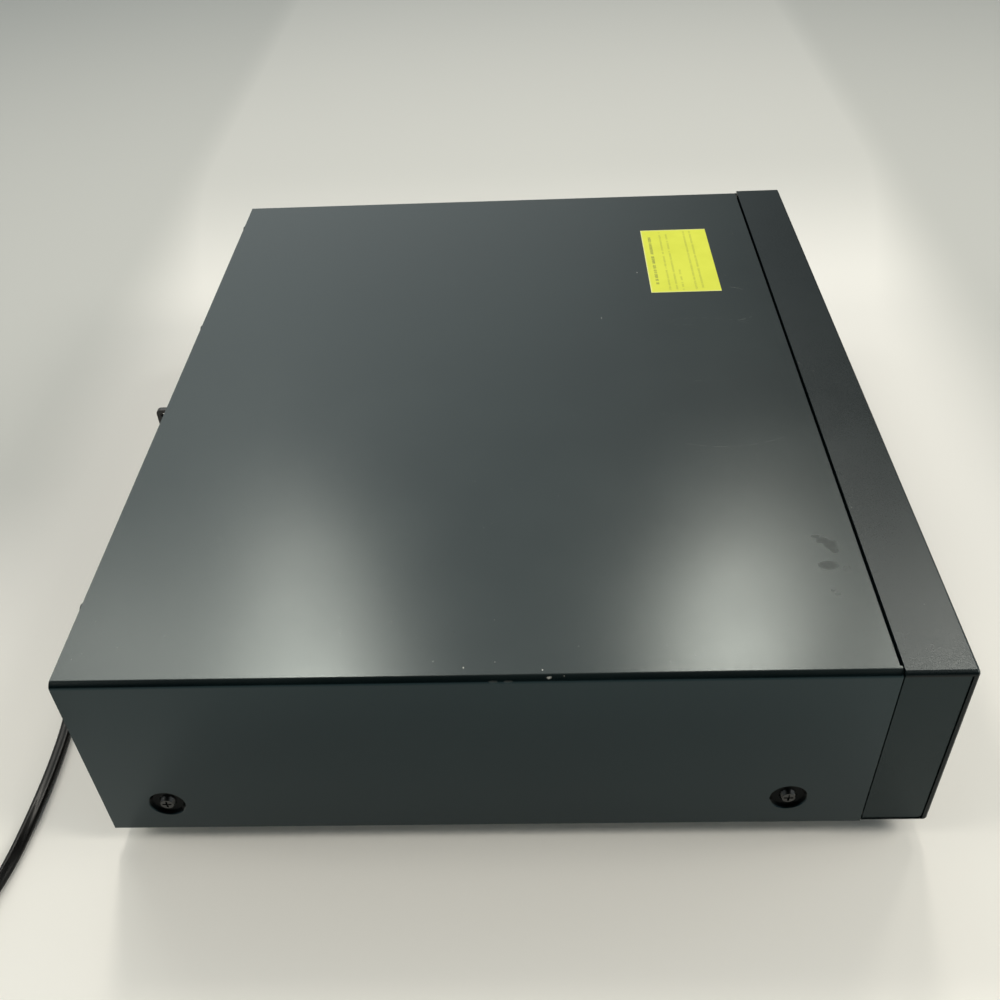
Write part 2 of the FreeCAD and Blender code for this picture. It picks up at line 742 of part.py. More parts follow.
def make_keys():
    """Each key is a cap with a stem that stops short of its switch."""
    stem_end = "(board_behind - switch_height - key_travel - key_play)"
    for label, x, z, width, height in KEYS:
        key = body(label)
        half, rise = width / 2, height / 2
        cap = [(-half, -rise), (half, -rise), (half, rise), (-half, rise)]
        feature(key, "Pad", outline(key, "XZ_Plane", cap), "key_depth", back=True)
        softened(key, "key_edge", lambda edge: edge.BoundBox.YMax < 0.01)
        stem = [(f"{across} * plunger_radius", f"{up} * plunger_radius")
                for across, up in ((-1, -1), (1, -1), (1, 1), (-1, 1))]
        feature(key, "Pad", outline(key, "XZ_Plane", stem, "-key_depth"),
                f"{stem_end} - key_recess - key_depth", back=True)
        node(put(key, x, f"{FRONT} + key_recess", z))


# The back
def make_back_fittings():
    section = [("0", "-4"), ("boot_radius + 2.4", "-4"), ("boot_radius + 2.4", "-panel_wall"),
               ("boot_radius + 1", "-panel_wall"), ("boot_radius + 1", "0"),
               ("boot_radius + 2.4", "0"), ("boot_radius + 2.4", "2.5"),
               ("boot_radius", "3.5"), ("cord_width / 2 + 0.8", "boot_length"),
               ("0", "boot_length")]
    node(turned("cord_bushing", section, "cord_across", PANEL_OUT, "cord_level", "y"))
    base = block("spacer_sheet", ("-spacer_width / 2", "spacer_width / 2"),
                 (PANEL_OUT, f"{REAR} + spacer_base"),
                 ("spacer_top - spacer_height", "spacer_top"))
    fin = block("spacer_blade", ("-spacer_width / 2", "-spacer_width / 2 + spacer_fin"),
                (PANEL_OUT, f"{REAR} + spacer_depth"),
                ("spacer_top - spacer_height", "spacer_top"))
    tip = number(f"{REAR} + spacer_depth")

    def tip_edge(edge):
        box = edge.BoundBox
        return box.XLength > 1 and abs(box.YMin - tip) < 0.01 and box.YLength < 0.01

    hole = rod("spacer_tie_hole", "x", "spacer_hole",
               (f"{REAR} + spacer_depth - 4", "spacer_top - 3.6"),
               "-spacer_width / 2 - 1", "-spacer_width / 2 + spacer_fin + 1")
    blade = rounded("spacer_tip", fin, "spacer_round", tip_edge)
    node(cut("rear_spacer", fused("spacer_blank", [base, blade]), [hole]))
    holder = block("jack_holder", (f"{JACK_X} - jack_pitch", f"{JACK_X} + jack_pitch"),
                   (f"{PANEL_IN} - 12", PANEL_IN), ("jack_level - 9", "jack_level + 7"))
    barrels, bores = [holder], []
    for side in (-1, 1):
        spot = (f"{JACK_X} + {side} * jack_pitch / 2", "jack_level")
        barrels.append(rod(f"jack_neck_{side + 1}", "y", "jack_radius + 0.5", spot, PANEL_IN,
                           f"{PANEL_OUT} + 0.8"))
        barrels.append(rod(f"jack_barrel_{side + 1}", "y", "jack_radius", spot,
                           f"{PANEL_OUT} + 0.8", f"{PANEL_OUT} + jack_length"))
        bores.append(rod(f"jack_bore_{side + 1}", "y", "1.7", spot,
                         f"{PANEL_OUT} - 3", f"{PANEL_OUT} + jack_length + 1"))
    node(cut("output_jacks", fused("jack_blank", barrels), bores))
    optical = block("optical_body", (f"{OPTICAL_X} - optical_half",
                                     f"{OPTICAL_X} + optical_half"),
                    (f"{PANEL_IN} - 10", f"{PANEL_OUT} + 1.5"),
                    ("jack_level - optical_half", "jack_level + optical_half"))
    socket = block("optical_socket", (f"{OPTICAL_X} - socket_half",
                                      f"{OPTICAL_X} + socket_half"),
                   (f"{PANEL_OUT} - 4", f"{PANEL_OUT} + 2"),
                   ("jack_level - socket_half", "jack_level + socket_half"))
    node(cut("optical_jack", optical, [socket]))


def make_label():
    y = f"({FRONT} + label_front)"
    node(block("top_label", ("label_left", "label_left + label_length"),
               (y, f"{y} + label_width"), (TOP, f"{TOP} + label_thick")))


# Boards and transformer on the floor of the chassis
# Each board's span across and its span from the back edge of the cover.
LEFT = f"(17.5 - {HALF})"
SHEETS = {
    "power_board": ((f"({LEFT} + 75)", f"({LEFT} + 155)"), (-150, -22)),
    "main_board": (("(-30)", f"({HALF} - 22.5)"), (-190, -22)),
}
# Capacitors: place from the board's left edge, place from the back, radius, height.
CANS = {
    "power_board": [(65, -52, 9, 30), (43, -52, 9, 30), (65, -78, 6.3, 22), (49, -80, 5, 16)],
    "main_board": [(40, -60, 5, 12), (54, -60, 5, 12), (180, -70, 4, 11), (194, -70, 4, 11),
                   (180, -90, 4, 11)],
}
# Chips and heat sinks: left edge on the board, front edge from the back, width, depth, height.
CHIPS = {
    "power_board": [(10, -110, 22, 10, 14), (41, -120, 30, 3, 24)],
    "main_board": [(90, -120, 24, 24, 2.4), (140, -120, 18, 18, 2.2), (30, -150, 20, 14, 2.4),
                   (140, -60, 22, 8, 2.6), (190, -140, 26, 7, 6)],
}
FUSE_SPAN = (f"{LEFT} + 88", f"{LEFT} + 108")
CLIPS = (f"({LEFT} + 87)", f"({LEFT} + 104)")
CABLE_X = ("30", "70")
CABLE_END = f"({REAR} - 150)"
TRANSFORMER = (f"({LEFT} + 40)", f"({REAR} - 62)")


def make_electronics():
    make_transformer()
    board_z = f"({BASE_TOP} + post_height)"
    for name, (across, deep) in SHEETS.items():
        pieces = [block(name + "_sheet", across, (f"{REAR} + {deep[0]}", f"{REAR} + {deep[1]}"),
                        (board_z, f"{board_z} + board_wall"))]
        posts = [(f"{a} + post_inset * {b}", f"{REAR} + {c} + post_inset * {d}")
                 for a, b in zip(across, (1, -1)) for c, d in zip(deep, (1, -1))]
        for corner, spot in enumerate(posts):
            pieces.append(rod(f"{name}_post_{corner}", "z", "post_radius", spot, BASE_TOP,
                              board_z))
        for place, (x, y, radius, height) in enumerate(CANS[name]):
            pieces.append(rod(f"{name}_can_{place}", "z", radius,
                              (f"{across[0]} + {x}", f"{REAR} + {y}"), board_z,
                              f"{board_z} + board_wall + {height}"))
        for place, (x, y, wide, deep, height) in enumerate(CHIPS[name]):
            left = f"({across[0]} + {x})"
            pieces.append(block(f"{name}_chip_{place}", (left, f"{left} + {wide}"),
                                (f"{REAR} + {y}", f"{REAR} + {y + deep}"),
                                (board_z, f"{board_z} + board_wall + {height}")))
        node(fused(name, pieces))
    make_fuse(board_z)
    level = ("cable_level", "cable_level + cable_thick")
    turn = f"({BOARD_Y} + 14)"
    cable = [block("cable_low", CABLE_X, (f"{BOARD_Y} + board_wall", turn), level),
             block("cable_run", CABLE_X, (f"{turn} - cable_thick", CABLE_END), level),
             block("cable_drop", CABLE_X, (f"{CABLE_END} - cable_thick", CABLE_END),
                   (f"{board_z} + board_wall", level[1]))]
    node(fused("ribbon_cable", cable))


def make_transformer():
    x, y = TRANSFORMER
    core = block("transformer_core", (f"{x} - core_width / 2", f"{x} + core_width / 2"),
                 (f"{y} - core_depth / 2", f"{y} + core_depth / 2"),
                 (BASE_TOP, f"{BASE_TOP} + core_height"))
    low = f"({BASE_TOP} + (core_height - winding_height) / 2)"
    coil = block("transformer_coil", (f"{x} - winding_width / 2", f"{x} + winding_width / 2"),
                 (f"{y} - winding_depth / 2", f"{y} + winding_depth / 2"),
                 (low, f"{low} + winding_height"))
    half = "(core_width / 2 + core_foot)"
    foot = block("transformer_foot", (f"{x} - {half}", f"{x} + {half}"),
                 (f"{y} - 9", f"{y} + 9"), (BASE_TOP, f"{BASE_TOP} + chassis_wall"))
    winding = rounded("transformer_winding", coil, "4",
                      lambda edge: edge.BoundBox.ZLength > 20)
    node(fused("power_transformer", [core, winding, foot]))


def make_fuse(board_z):
    """A glass fuse in two clips on the power board."""
    y = f"({REAR} - 34)"
    glass = rod("fuse_glass", "x", "fuse_radius", (y, f"{board_z} + 8"), *FUSE_SPAN)
    clips = [block(f"fuse_clip_{place}", (left, f"{left} + clip_width"),
                   (f"{y} - fuse_radius - 0.9", f"{y} + fuse_radius + 0.9"),
                   (f"{board_z} + board_wall", f"{board_z} + 11"))
             for place, left in enumerate(CLIPS)]
    node(fused("fuse", [glass] + clips))


# Gears
PRESSURE = math.radians(20)


def wheel(teeth, module, slack, phase, low, high, bore):
    """A spur gear standing on the Z axis, its first tooth centred at the phase angle."""
    pitch = module * teeth / 2
    base, tip, root = pitch * math.cos(PRESSURE), pitch + module, pitch - 1.25 * module
    half = math.pi / (2 * teeth) - slack / (2 * pitch)
    spread = math.tan(PRESSURE) - PRESSURE
    flank = []
    start = max(base, root)
    for step in range(4):
        radius = start + (tip - start) * step / 3
        turn = math.acos(base / radius)
        flank.append((radius, half + spread - (math.tan(turn) - turn)))
    side = [(root, flank[0][1])] + flank if root < base else flank
    corners = []
    for tooth in range(teeth):
        centre = phase + 2 * math.pi * tooth / teeth
        for radius, offset in side:
            corners.append((radius, centre - offset))
        for radius, offset in reversed(side):
            corners.append((radius, centre + offset))
    points = [Vector(r * math.cos(a), r * math.sin(a), low) for r, a in corners]
    face = Part.Face(Part.makePolygon(points + [points[0]]))
    solid = face.extrude(Vector(0, 0, high - low))
    hole = Part.makeCylinder(bore, high - low + 2, Vector(0, 0, low - 1))
    return solid.cut(hole)


RACK_TEETH = 18
TRAIN_TEETH = (40, 12)
RING_TEETH = (60, 15)
PINION_PITCH = f"(rack_module * {RACK_TEETH} / 2)"
RACK_LINE = "(tray_half + 0.5 + 1.25 * rack_module)"
PINION_X = f"(-({RACK_LINE} + {PINION_PITCH}))"
PINION_Y = f"({FRONT} + pinion_back)"
TRAIN_REACH = f"(train_module * {sum(TRAIN_TEETH) / 2} + 0.1)"
TRAIN_ANGLE = 30.0
PULLEY_X = f"({PINION_X} + {TRAIN_REACH} * cos({TRAIN_ANGLE}))"
PULLEY_Y = f"({PINION_Y} + {TRAIN_REACH} * sin({TRAIN_ANGLE}))"
MOTOR_X = f"({PULLEY_X} + 50)"
TRAIN_Z = f"({LOADER_TOP} + 1.5)"
BELT_Z = f"({LOADER_TOP} + 6.7)"
RING_REACH = f"(ring_module * {sum(RING_TEETH) / 2} + 0.1)"
RING_ANGLE = 225.0
RING_PINION = (f"({RING_REACH} * cos({RING_ANGLE}))",
               f"({CAROUSEL_Y} + {RING_REACH} * sin({RING_ANGLE}))")


def rack_shape():
    """Straight teeth on the outside of the tray's left wall, met by the pinion."""
    module, line = number("rack_module"), -number(RACK_LINE)
    wall, slope = -number("tray_half") + 0.5, math.tan(PRESSURE)
    step = math.pi * module
    first = -2
    last = math.ceil(number("tray_travel") / step) + 2
    thick = step / 2 - number("tooth_gap")
    pinion = number(PINION_Y)
    root, tip = line + 1.25 * module, line - module
    wide, narrow = thick / 2 + 1.25 * module * slope, thick / 2 - module * slope
    points = [(wall, pinion + (first - 0.5) * step), (root, pinion + (first - 0.5) * step)]
    for tooth in range(first, last + 1):
        middle = pinion + tooth * step
        points += [(root, middle - wide), (tip, middle - narrow), (tip, middle + narrow),
                   (root, middle + wide)]
    end = pinion + (last + 0.5) * step
    points += [(root, end), (wall, end)]
    low = number(PAN_TOP)
    corners = [Vector(x, y, low) for x, y in points]
    face = Part.Face(Part.makePolygon(corners + [corners[0]]))
    return face.extrude(Vector(0, 0, 4.5))


def stand(piece, x, y):
    """Move a finished gear shape to its axle."""
    piece.Placement = FreeCAD.Placement(Vector(number(x), number(y), 0), FreeCAD.Rotation())
    return piece


def make_loading_drive():
    slack = number("tooth_gap")
    module, train = number("rack_module"), number("train_module")
    low = number(TRAIN_Z)
    bore = 2 + number("bore_gap")
    rack_low = number(PAN_TOP) - 0.3
    big = wheel(TRAIN_TEETH[0], train, slack, math.radians(TRAIN_ANGLE), low, low + 3.5, bore)
    small = wheel(RACK_TEETH, module, slack, math.pi / RACK_TEETH, rack_low,
                  rack_low + 5.1, bore)
    neck = Part.makeCylinder(6, rack_low - low + 0.2, Vector(0, 0, low))
    neck = neck.cut(Part.makeCylinder(bore, rack_low - low + 2, Vector(0, 0, low - 1)))
    node(stand(given("tray_pinion", big.fuse([neck, small]).removeSplitter()),
               PINION_X, PINION_Y))
    meet = math.radians(TRAIN_ANGLE) + math.pi + math.pi / TRAIN_TEETH[1]
    bore = 1.5 + number("bore_gap")
    driven = wheel(TRAIN_TEETH[1], train, slack, meet, low, low + 4, bore)
    grooved = Part.makeCylinder(number("pulley_radius"), 3.8, Vector(0, 0, low + 3.9))
    grooved = grooved.cut(Part.makeCylinder(bore, 6, Vector(0, 0, low + 3)))
    groove = belt_groove(number("pulley_radius"), number(BELT_Z))
    node(stand(given("pulley_gear", driven.fuse(grooved).cut(groove)), PULLEY_X, PULLEY_Y))
    top = low + 7.7
    hub = Part.makeCylinder(number("motor_pulley_radius"), 6, Vector(0, 0, top - 6))
    axle = Part.makeCylinder(1, top - number("loader_level") + 1.5,
                             Vector(0, 0, number("loader_level") - 1.5))
    hub = hub.cut(belt_groove(number("motor_pulley_radius"), number(BELT_Z)))
    node(stand(given("motor_pulley", hub.fuse(axle)), MOTOR_X, PULLEY_Y))
    node(stand(given("drive_belt", belt_shape()), PULLEY_X, PULLEY_Y))
    can = rod("motor_can", "z", "motor_radius", (MOTOR_X, PULLEY_Y),
              "loader_level - motor_height", "loader_level")
    nose = rod("motor_bore", "z", "1.3", (MOTOR_X, PULLEY_Y), "loader_level - 3",
               "loader_level + 1")
    node(cut("loading_motor", can, [nose]))


def belt_groove(radius, middle):
    """The ring that the belt's groove takes out of a pulley."""
    deep, half = number("belt_thick"), number("belt_height") / 2 + 0.3
    outer = Part.makeCylinder(radius + 1, 2 * half, Vector(0, 0, middle - half))
    return outer.cut(Part.makeCylinder(radius - deep, 2 * half, Vector(0, 0, middle - half)))


def belt_shape():
    """A flat loop over the two pulleys, standing just off their grooves."""
    thick, space = number("belt_thick"), 0.3
    reach = number(MOTOR_X) - number(PULLEY_X)
    big = number("pulley_radius") - thick + space
    small = number("motor_pulley_radius") - thick + space

    def loop(extra):
        first, second = big + extra, small + extra
        lean = math.acos((first - second) / reach)
        ends = [(0, first, lean), (reach, second, lean)]
        (ax, ar, at), (bx, br, bt) = ends
        a_top = Vector(ax + ar * math.cos(at), ar * math.sin(at), 0)
        a_low = Vector(ax + ar * math.cos(at), -ar * math.sin(at), 0)
        b_top = Vector(bx + br * math.cos(bt), br * math.sin(bt), 0)
        b_low = Vector(bx + br * math.cos(bt), -br * math.sin(bt), 0)
        return Part.Wire([
            Part.Arc(a_top, Vector(ax - ar, 0, 0), a_low).toShape(),
            Part.makeLine(a_low, b_low),
            Part.Arc(b_low, Vector(bx + br, 0, 0), b_top).toShape(),
            Part.makeLine(b_top, a_top)])

    low, tall = number(BELT_Z) - number("belt_height") / 2, number("belt_height")
    outer = Part.Face(loop(thick)).extrude(Vector(0, 0, tall))
    inner = Part.Face(loop(0)).extrude(Vector(0, 0, tall))
    belt = outer.cut(inner)
    belt.translate(Vector(0, 0, low))
    return Part.Solid(belt.Shells[0])


# The loader frame, which carries the tray, the lift and the drive
def make_loader():
    plate = block("loader_plate", (f"-({FLANGE_X} - 6)", f"{FLANGE_X} - 6"),
                  (f"{BEZEL_BACK} + 3", f"{TRAY_BACK} + 4"), ("loader_level", LOADER_TOP))
    pieces, cutters = [plate], []
    rail_y = (f"{BEZEL_BACK} + 3", TRAY_BACK)
    shelf = f"({RUNNER_Z} - slide_gap)"
    lip = f"({RUNNER_Z} + runner_thick + slide_gap)"
    for side in (-1, 1):
        name = f"rail_{side + 1}"
        pieces.append(block(name + "_web", mirrored(side, RAIL_IN, RAIL_OUT), rail_y,
                            ("loader_level", f"{lip} + 2")))
        pieces.append(block(name + "_shelf", mirrored(side, "tray_half + 1", RAIL_OUT),
                            rail_y, (f"{shelf} - 1.7", shelf)))
        pieces.append(block(name + "_lip", mirrored(side, "tray_half + 1", RAIL_OUT),
                            rail_y, (lip, f"{lip} + 2")))
        for end, y in (("front", f"{BEZEL_BACK} + 9"), ("middle", CAROUSEL_Y),
                       ("rear", TRAY_BACK)):
            pieces.append(rod(f"loader_post_{end}_{side + 1}", "z", "5",
                              (f"{side} * ({FLANGE_X} - 12)", y), BASE_TOP, "loader_level"))
        guide = mirrored(side, "frame_half + 4", "frame_half + 6.5")
        pieces.append(block(f"lift_guide_{side + 1}", guide,
                            (f"{PLAY_Y} - 16", f"{PLAY_Y} + 61"),
                            (LOADER_TOP, f"{LOADER_TOP} + 20")))
        for place, y in enumerate(LIFT_PINS):
            cutters.append(block(f"guide_slot_{place}_{side + 1}",
                                 mirrored(side, "frame_half + 3", "frame_half + 7.5"),
                                 (f"{y} - pin_radius - 0.4", f"{y} + pin_radius + 0.4"),
                                 (f"{PIN_Z} - pin_radius - 0.6",
                                  f"{PIN_Z} + lift_travel + pin_radius + 0.6")))
    pieces.append(rod("pinion_axle", "z", "2", (PINION_X, PINION_Y), LOADER_TOP,
                      f"{PAN_TOP} + 5.4"))
    pieces.append(rod("pulley_axle", "z", "1.5", (PULLEY_X, PULLEY_Y), LOADER_TOP,
                      f"{TRAIN_Z} + 7.8"))
    cutters.append(block("train_window", (f"-({RAIL_OUT} + 1)", f"-({RAIL_IN} - 1)"),
                         (f"{PINION_Y} - 29", f"{PINION_Y} + 38"),
                         (LOADER_TOP, f"{PAN_TOP} + 6.5")))
    cutters.append(block("loader_opening", ("-150", "150"),
                         (f"{PULLEY_Y} + 30", f"{PLAY_Y} - 46"),
                         ("loader_level - 1", f"{LOADER_TOP} + 1")))
    cutters.append(rod("motor_axle_hole", "z", "2.5", (MOTOR_X, PULLEY_Y),
                       "loader_level - 1", f"{LOADER_TOP} + 1"))
    node(cut("loader_base", fused("loader_blank", pieces), cutters))
    bridge_y = (f"{PLAY_Y} - bridge_half", f"{PLAY_Y} + bridge_half")
    strap = block("bridge_strap", (f"-{RAIL_OUT}", RAIL_OUT), bridge_y,
                  (BRIDGE_Z, f"{BRIDGE_Z} + bridge_wall"))
    legs = [block(f"bridge_leg_{side + 1}", mirrored(side, f"{RAIL_OUT} - 1.5", RAIL_OUT),
                  bridge_y, (f"{lip} + 2", f"{BRIDGE_Z} + bridge_wall")) for side in (-1, 1)]
    eye = rod("bridge_eye", "z", "puck_radius + 0.6", ("0", PLAY_Y), f"{BRIDGE_Z} - 1",
              f"{BRIDGE_Z} + bridge_wall + 1")
    node(cut("clamp_bridge", fused("bridge_blank", [strap] + legs), [eye]))
    flange = "(bridge_wall + 0.3)"
    section = [("0", "-1.4"), ("9", "-1.4"), ("9", "-4.4"), ("puck_radius", "-4.4"),
               ("puck_radius", flange), ("puck_radius + 3", flange),
               ("puck_radius + 3", f"{flange} + 1.6"), ("6", f"{flange} + 2.2"),
               ("0", f"{flange} + 2.2")]
    node(turned("clamp_puck", section, "0", PLAY_Y, BRIDGE_Z))


LIFT_PINS = (f"({PLAY_Y} - 10)", f"({PLAY_Y} + 55)")
PIN_Z = f"({LOADER_TOP} + 8)"


# The tray and the carousel
def make_tray():
    y = (TRAY_Y, TRAY_BACK)
    blank = block("tray_blank", ("-tray_half", "tray_half"), y,
                  ("tray_level", "tray_level + tray_rise"))
    middle = ("0", CAROUSEL_Y)
    cutters = [
        rod("tray_well", "z", TRAY_WELL, middle, PAN_TOP, "tray_level + tray_rise + 1"),
        block("tray_notch", ("-notch_half", "notch_half"),
              (f"{PLAY_Y} - 44", f"{TRAY_BACK} + 1"),
              ("tray_level - 1", "tray_level + tray_rise + 1")),
    ]
    footprint = block("corner_footprint", ("-(tray_half - 2.5)", "tray_half - 2.5"),
                      (f"{TRAY_Y} + 2.5", f"{TRAY_BACK} - 2.5"),
                      ("tray_level - 1", "tray_level + tray_rise - 2.5"))
    middle_wall = rod("well_outside", "z", f"{TRAY_WELL} + 2.5", middle, "tray_level - 2",
                      "tray_level + tray_rise")
    cutters.append(cut("corner_hollows", footprint, [middle_wall]))
    well = cut("tray_shell", blank, cutters)
    pieces = [well]
    for side in (-1, 1):
        pieces.append(block(f"runner_{side + 1}", mirrored(side, "tray_half - 0.5", RUNNER_X),
                            (f"{BEZEL_BACK} + 1", TRAY_BACK),
                            (RUNNER_Z, f"{RUNNER_Z} + runner_thick")))
    pieces.append(rod("tray_boss", "z", "16", middle, "tray_level",
                      f"{CAROUSEL_Z} - ring_height - 0.3"))
    pieces.append(rod("tray_pivot", "z", "pivot_radius", middle, "tray_level",
                      f"{CAROUSEL_Z} + carousel_thick + 0.3"))
    pieces.append(given("tray_rack", rack_shape()))
    node(fused("tray", pieces))
    door = block("door_blank", ("-door_half", "door_half"), (DOOR_Y, TRAY_Y),
                 ("door_low", "door_high"))
    face = number(DOOR_Y)
    node(rounded("tray_door", door, "1",
                 lambda edge: edge.BoundBox.YMax < face + 0.01))
    spot = RING_PINION
    can = rod("ring_motor_can", "z", "motor_radius", spot, PAN_TOP, f"{PAN_TOP} + 10")
    hole = rod("ring_motor_bore", "z", "1.3", spot, f"{PAN_TOP} + 6", f"{PAN_TOP} + 11")
    node(cut("carousel_motor", can, [hole]))
    cap_low = "(carousel_thick + 0.3)"
    section = [("0", cap_low), ("14", cap_low), ("14", f"{cap_low} + 1.8"),
               ("11", f"{cap_low} + 2.8"), ("0", f"{cap_low} + 2.8")]
    node(turned("carousel_cap", section, "0", CAROUSEL_Y, CAROUSEL_Z))


def make_carousel():
    """A plate with five disc wells, each open from its middle to the plate's edge."""
    plate = body("carousel_plate")
    feature(plate, "Pad", ring(plate, "XY_Plane", CAROUSEL_RADIUS), "carousel_thick")
    feature(plate, "Pocket", ring(plate, "XY_Plane", "pivot_radius + bore_gap"),
            "carousel_thick", back=True)
    doc.recompute()
    well = feature(plate, "Pocket",
                   ring(plate, "XY_Plane", "well_radius", "carousel_thick - well_depth",
                        ("0", "well_circle")), "well_depth + 1", back=True)
    hub = feature(plate, "Pocket", ring(plate, "XY_Plane", "slot_half + 3", "0",
                                        ("0", "well_circle")), "carousel_thick", back=True)
    corners = [("-slot_half", "well_circle"), ("slot_half", "well_circle"),
               ("slot_half", f"{CAROUSEL_RADIUS} + 1"), ("-slot_half", f"{CAROUSEL_RADIUS} + 1")]
    slot = feature(plate, "Pocket", outline(plate, "XY_Plane", corners), "carousel_thick",
                   back=True)
    doc.recompute()
    pattern = plate.newObject("PartDesign::PolarPattern", "WellPattern")
    pattern.Originals = [well, hub, slot]
    upright = [each for each in plate.Origin.OriginFeatures if each.Role == "Z_Axis"][0]
    pattern.Axis = (upright, [""])
    pattern.Angle = 360
    pattern.Occurrences = WELLS
    plate.Tip = pattern
    put(plate, "0", CAROUSEL_Y, CAROUSEL_Z)
    doc.recompute()
    slack, module = number("tooth_gap"), number("ring_module")
    bore = number("pivot_radius + bore_gap")
    low = number(f"{CAROUSEL_Z} - ring_height")
    high = number(CAROUSEL_Z) + 0.2
    meet = math.radians(RING_ANGLE)
    big = wheel(RING_TEETH[0], module, slack, meet, low, high, bore)
    toothed = stand(given("ring_gear", big), "0", CAROUSEL_Y)
    node(fused("carousel", [plate, toothed]))
    turn = meet + math.pi + math.pi / RING_TEETH[1]
    small = wheel(RING_TEETH[1], module, slack, turn, low, number(CAROUSEL_Z) - 0.5, 0.5)
    axle = Part.makeCylinder(1, low - number(PAN_TOP) - 6.5, Vector(0, 0, number(PAN_TOP) + 7))
    plug = Part.makeCylinder(2, number(CAROUSEL_Z) - 0.5 - low, Vector(0, 0, low))
    node(stand(given("carousel_gear", small.fuse([plug, axle]).removeSplitter()),
               *RING_PINION))


WELLS = 5


# The playing mechanism
def make_lift():
    """The frame that rises under the disc, its motors, rods, sled and turntable."""
    front, back = f"({PLAY_Y} - frame_front)", f"({PLAY_Y} + frame_back)"
    low = f"({LOADER_TOP} + 6)"
    plate = block("lift_plate", ("-frame_half", "frame_half"), (front, back),
                  (LIFT_Z, f"{LIFT_Z} + frame_wall"))
    pieces = [plate]
    for side in (-1, 1):
        pieces.append(block(f"lift_skirt_{side + 1}",
                            mirrored(side, "frame_half - frame_wall", "frame_half"),
                            (front, back), (low, LIFT_Z)))
        for place, y in enumerate(LIFT_PINS):
            x = mirrored(side, "frame_half - 0.2", "frame_half + 7")
            pieces.append(rod(f"lift_pin_{place}_{side + 1}", "x", "pin_radius", (y, PIN_Z), *x))
    near = f"({PLAY_Y} + 9)"
    for name, y in (("near", near), ("far", f"({back} - 2)")):
        pieces.append(block(f"rod_bracket_{name}", ("-frame_half", "frame_half"),
                            (y, f"{y} + 2"), (low, LIFT_Z)))
    slot_y = (f"{PLAY_Y} + sled_start - 13", f"{PLAY_Y} + sled_start + sled_travel + 12")
    cutters = [
        block("sled_slot", ("-11", "11"), slot_y, (f"{LIFT_Z} - 1", f"{LIFT_Z} + frame_wall + 1")),
        rod("spindle_hole", "z", "3", ("0", PLAY_Y), f"{LIFT_Z} - 1",
            f"{LIFT_Z} + frame_wall + 1"),
        rod("motor_space", "z", "13.4", ("0", PLAY_Y), f"{low} - 1", LIFT_Z),
        rod("lead_screw_space", "y", "rod_radius + 0.4", ("screw_across", ROD_Z),
            f"{near} - 1", f"{back} + 1"),
    ]
    for side in (-1, 1):
        cutters.append(rod(f"rod_seat_{side + 1}", "y", "rod_radius",
                           (f"{side} * rod_across", ROD_Z), f"{near} - 1", f"{back} - 0.5"))
    node(cut("lift_frame", fused("lift_blank", pieces), cutters))
    rods = [rod(f"guide_rod_{side + 1}", "y", "rod_radius", (f"{side} * rod_across", ROD_Z),
                near, f"{back} - 0.5") for side in (-1, 1)]
    node(group("guide_rods", rods))
    can = rod("spindle_can", "z", "13", ("0", PLAY_Y), f"{LIFT_Z} - 10", LIFT_Z)
    bore = rod("spindle_bore", "z", "1 + bore_gap", ("0", PLAY_Y), f"{LIFT_Z} - 7",
               f"{LIFT_Z} + 1")
    node(cut("spindle_motor", can, [bore]))
    can = rod("sled_can", "y", "4.8", ("screw_across", ROD_Z), f"{near} - 20", near)
    bore = rod("sled_bore", "y", "1 + bore_gap", ("screw_across", ROD_Z), f"{near} - 4",
               f"{near} + 1")
    node(cut("sled_motor", can, [bore]))
    section = [("0", "-6"), ("1", "-6"), ("1", "2"), ("5", "2"), ("5", "4.5"),
               ("turntable_radius", "4.5"), ("turntable_radius", "7.5"), ("7.4", "7.5"),
               ("6.8", "9.5"), ("0", "9.5")]
    node(turned("turntable", section, "0", PLAY_Y, LIFT_Z))
    section = [("0", "-3"), ("1", "-3"), ("1", "0.5"), ("rod_radius", "0.5"),
               ("rod_radius", "frame_back - 10.5"), ("0", "frame_back - 10.5")]
    node(turned("lead_screw", section, "screw_across", near, ROD_Z, "y"))
    make_sled(near, back)
    make_cam()


ROD_Z = f"({LIFT_Z} - 5)"


def make_sled(near, back):
    lens_y = f"({PLAY_Y} + sled_start)"
    start, end = f"({lens_y} - 9)", f"({lens_y} + 9)"
    low, high = f"({ROD_Z} - 3.2)", f"({ROD_Z} + 3.2)"
    pieces = [
        block("sled_block", ("-(rod_across + 4)", "rod_across + 4"), (start, end), (low, high)),
        block("sled_nut", ("rod_across + 3", "screw_across + 3.6"),
              (f"{lens_y} - 5", f"{lens_y} + 5"), (low, high)),
        block("lens_housing", ("-8.5", "8.5"), (f"{lens_y} - 8", f"{lens_y} + 8"),
              (f"{high} - 1", f"{LIFT_Z} + 5.5")),
        rod("lens", "z", "3.4", ("0", lens_y), f"{LIFT_Z} + 5", f"{LIFT_Z} + 6.2"),
    ]
    cutters = [rod(f"sled_bush_{side + 1}", "y", "rod_radius + bore_gap",
                   (f"{side} * rod_across", ROD_Z), f"{start} - 1", f"{end} + 1")
               for side in (-1, 1)]
    cutters.append(rod("nut_bore", "y", "rod_radius + bore_gap", ("screw_across", ROD_Z),
                       f"{start} - 1", f"{end} + 1"))
    node(cut("pickup_sled", fused("sled_blank", pieces), cutters))


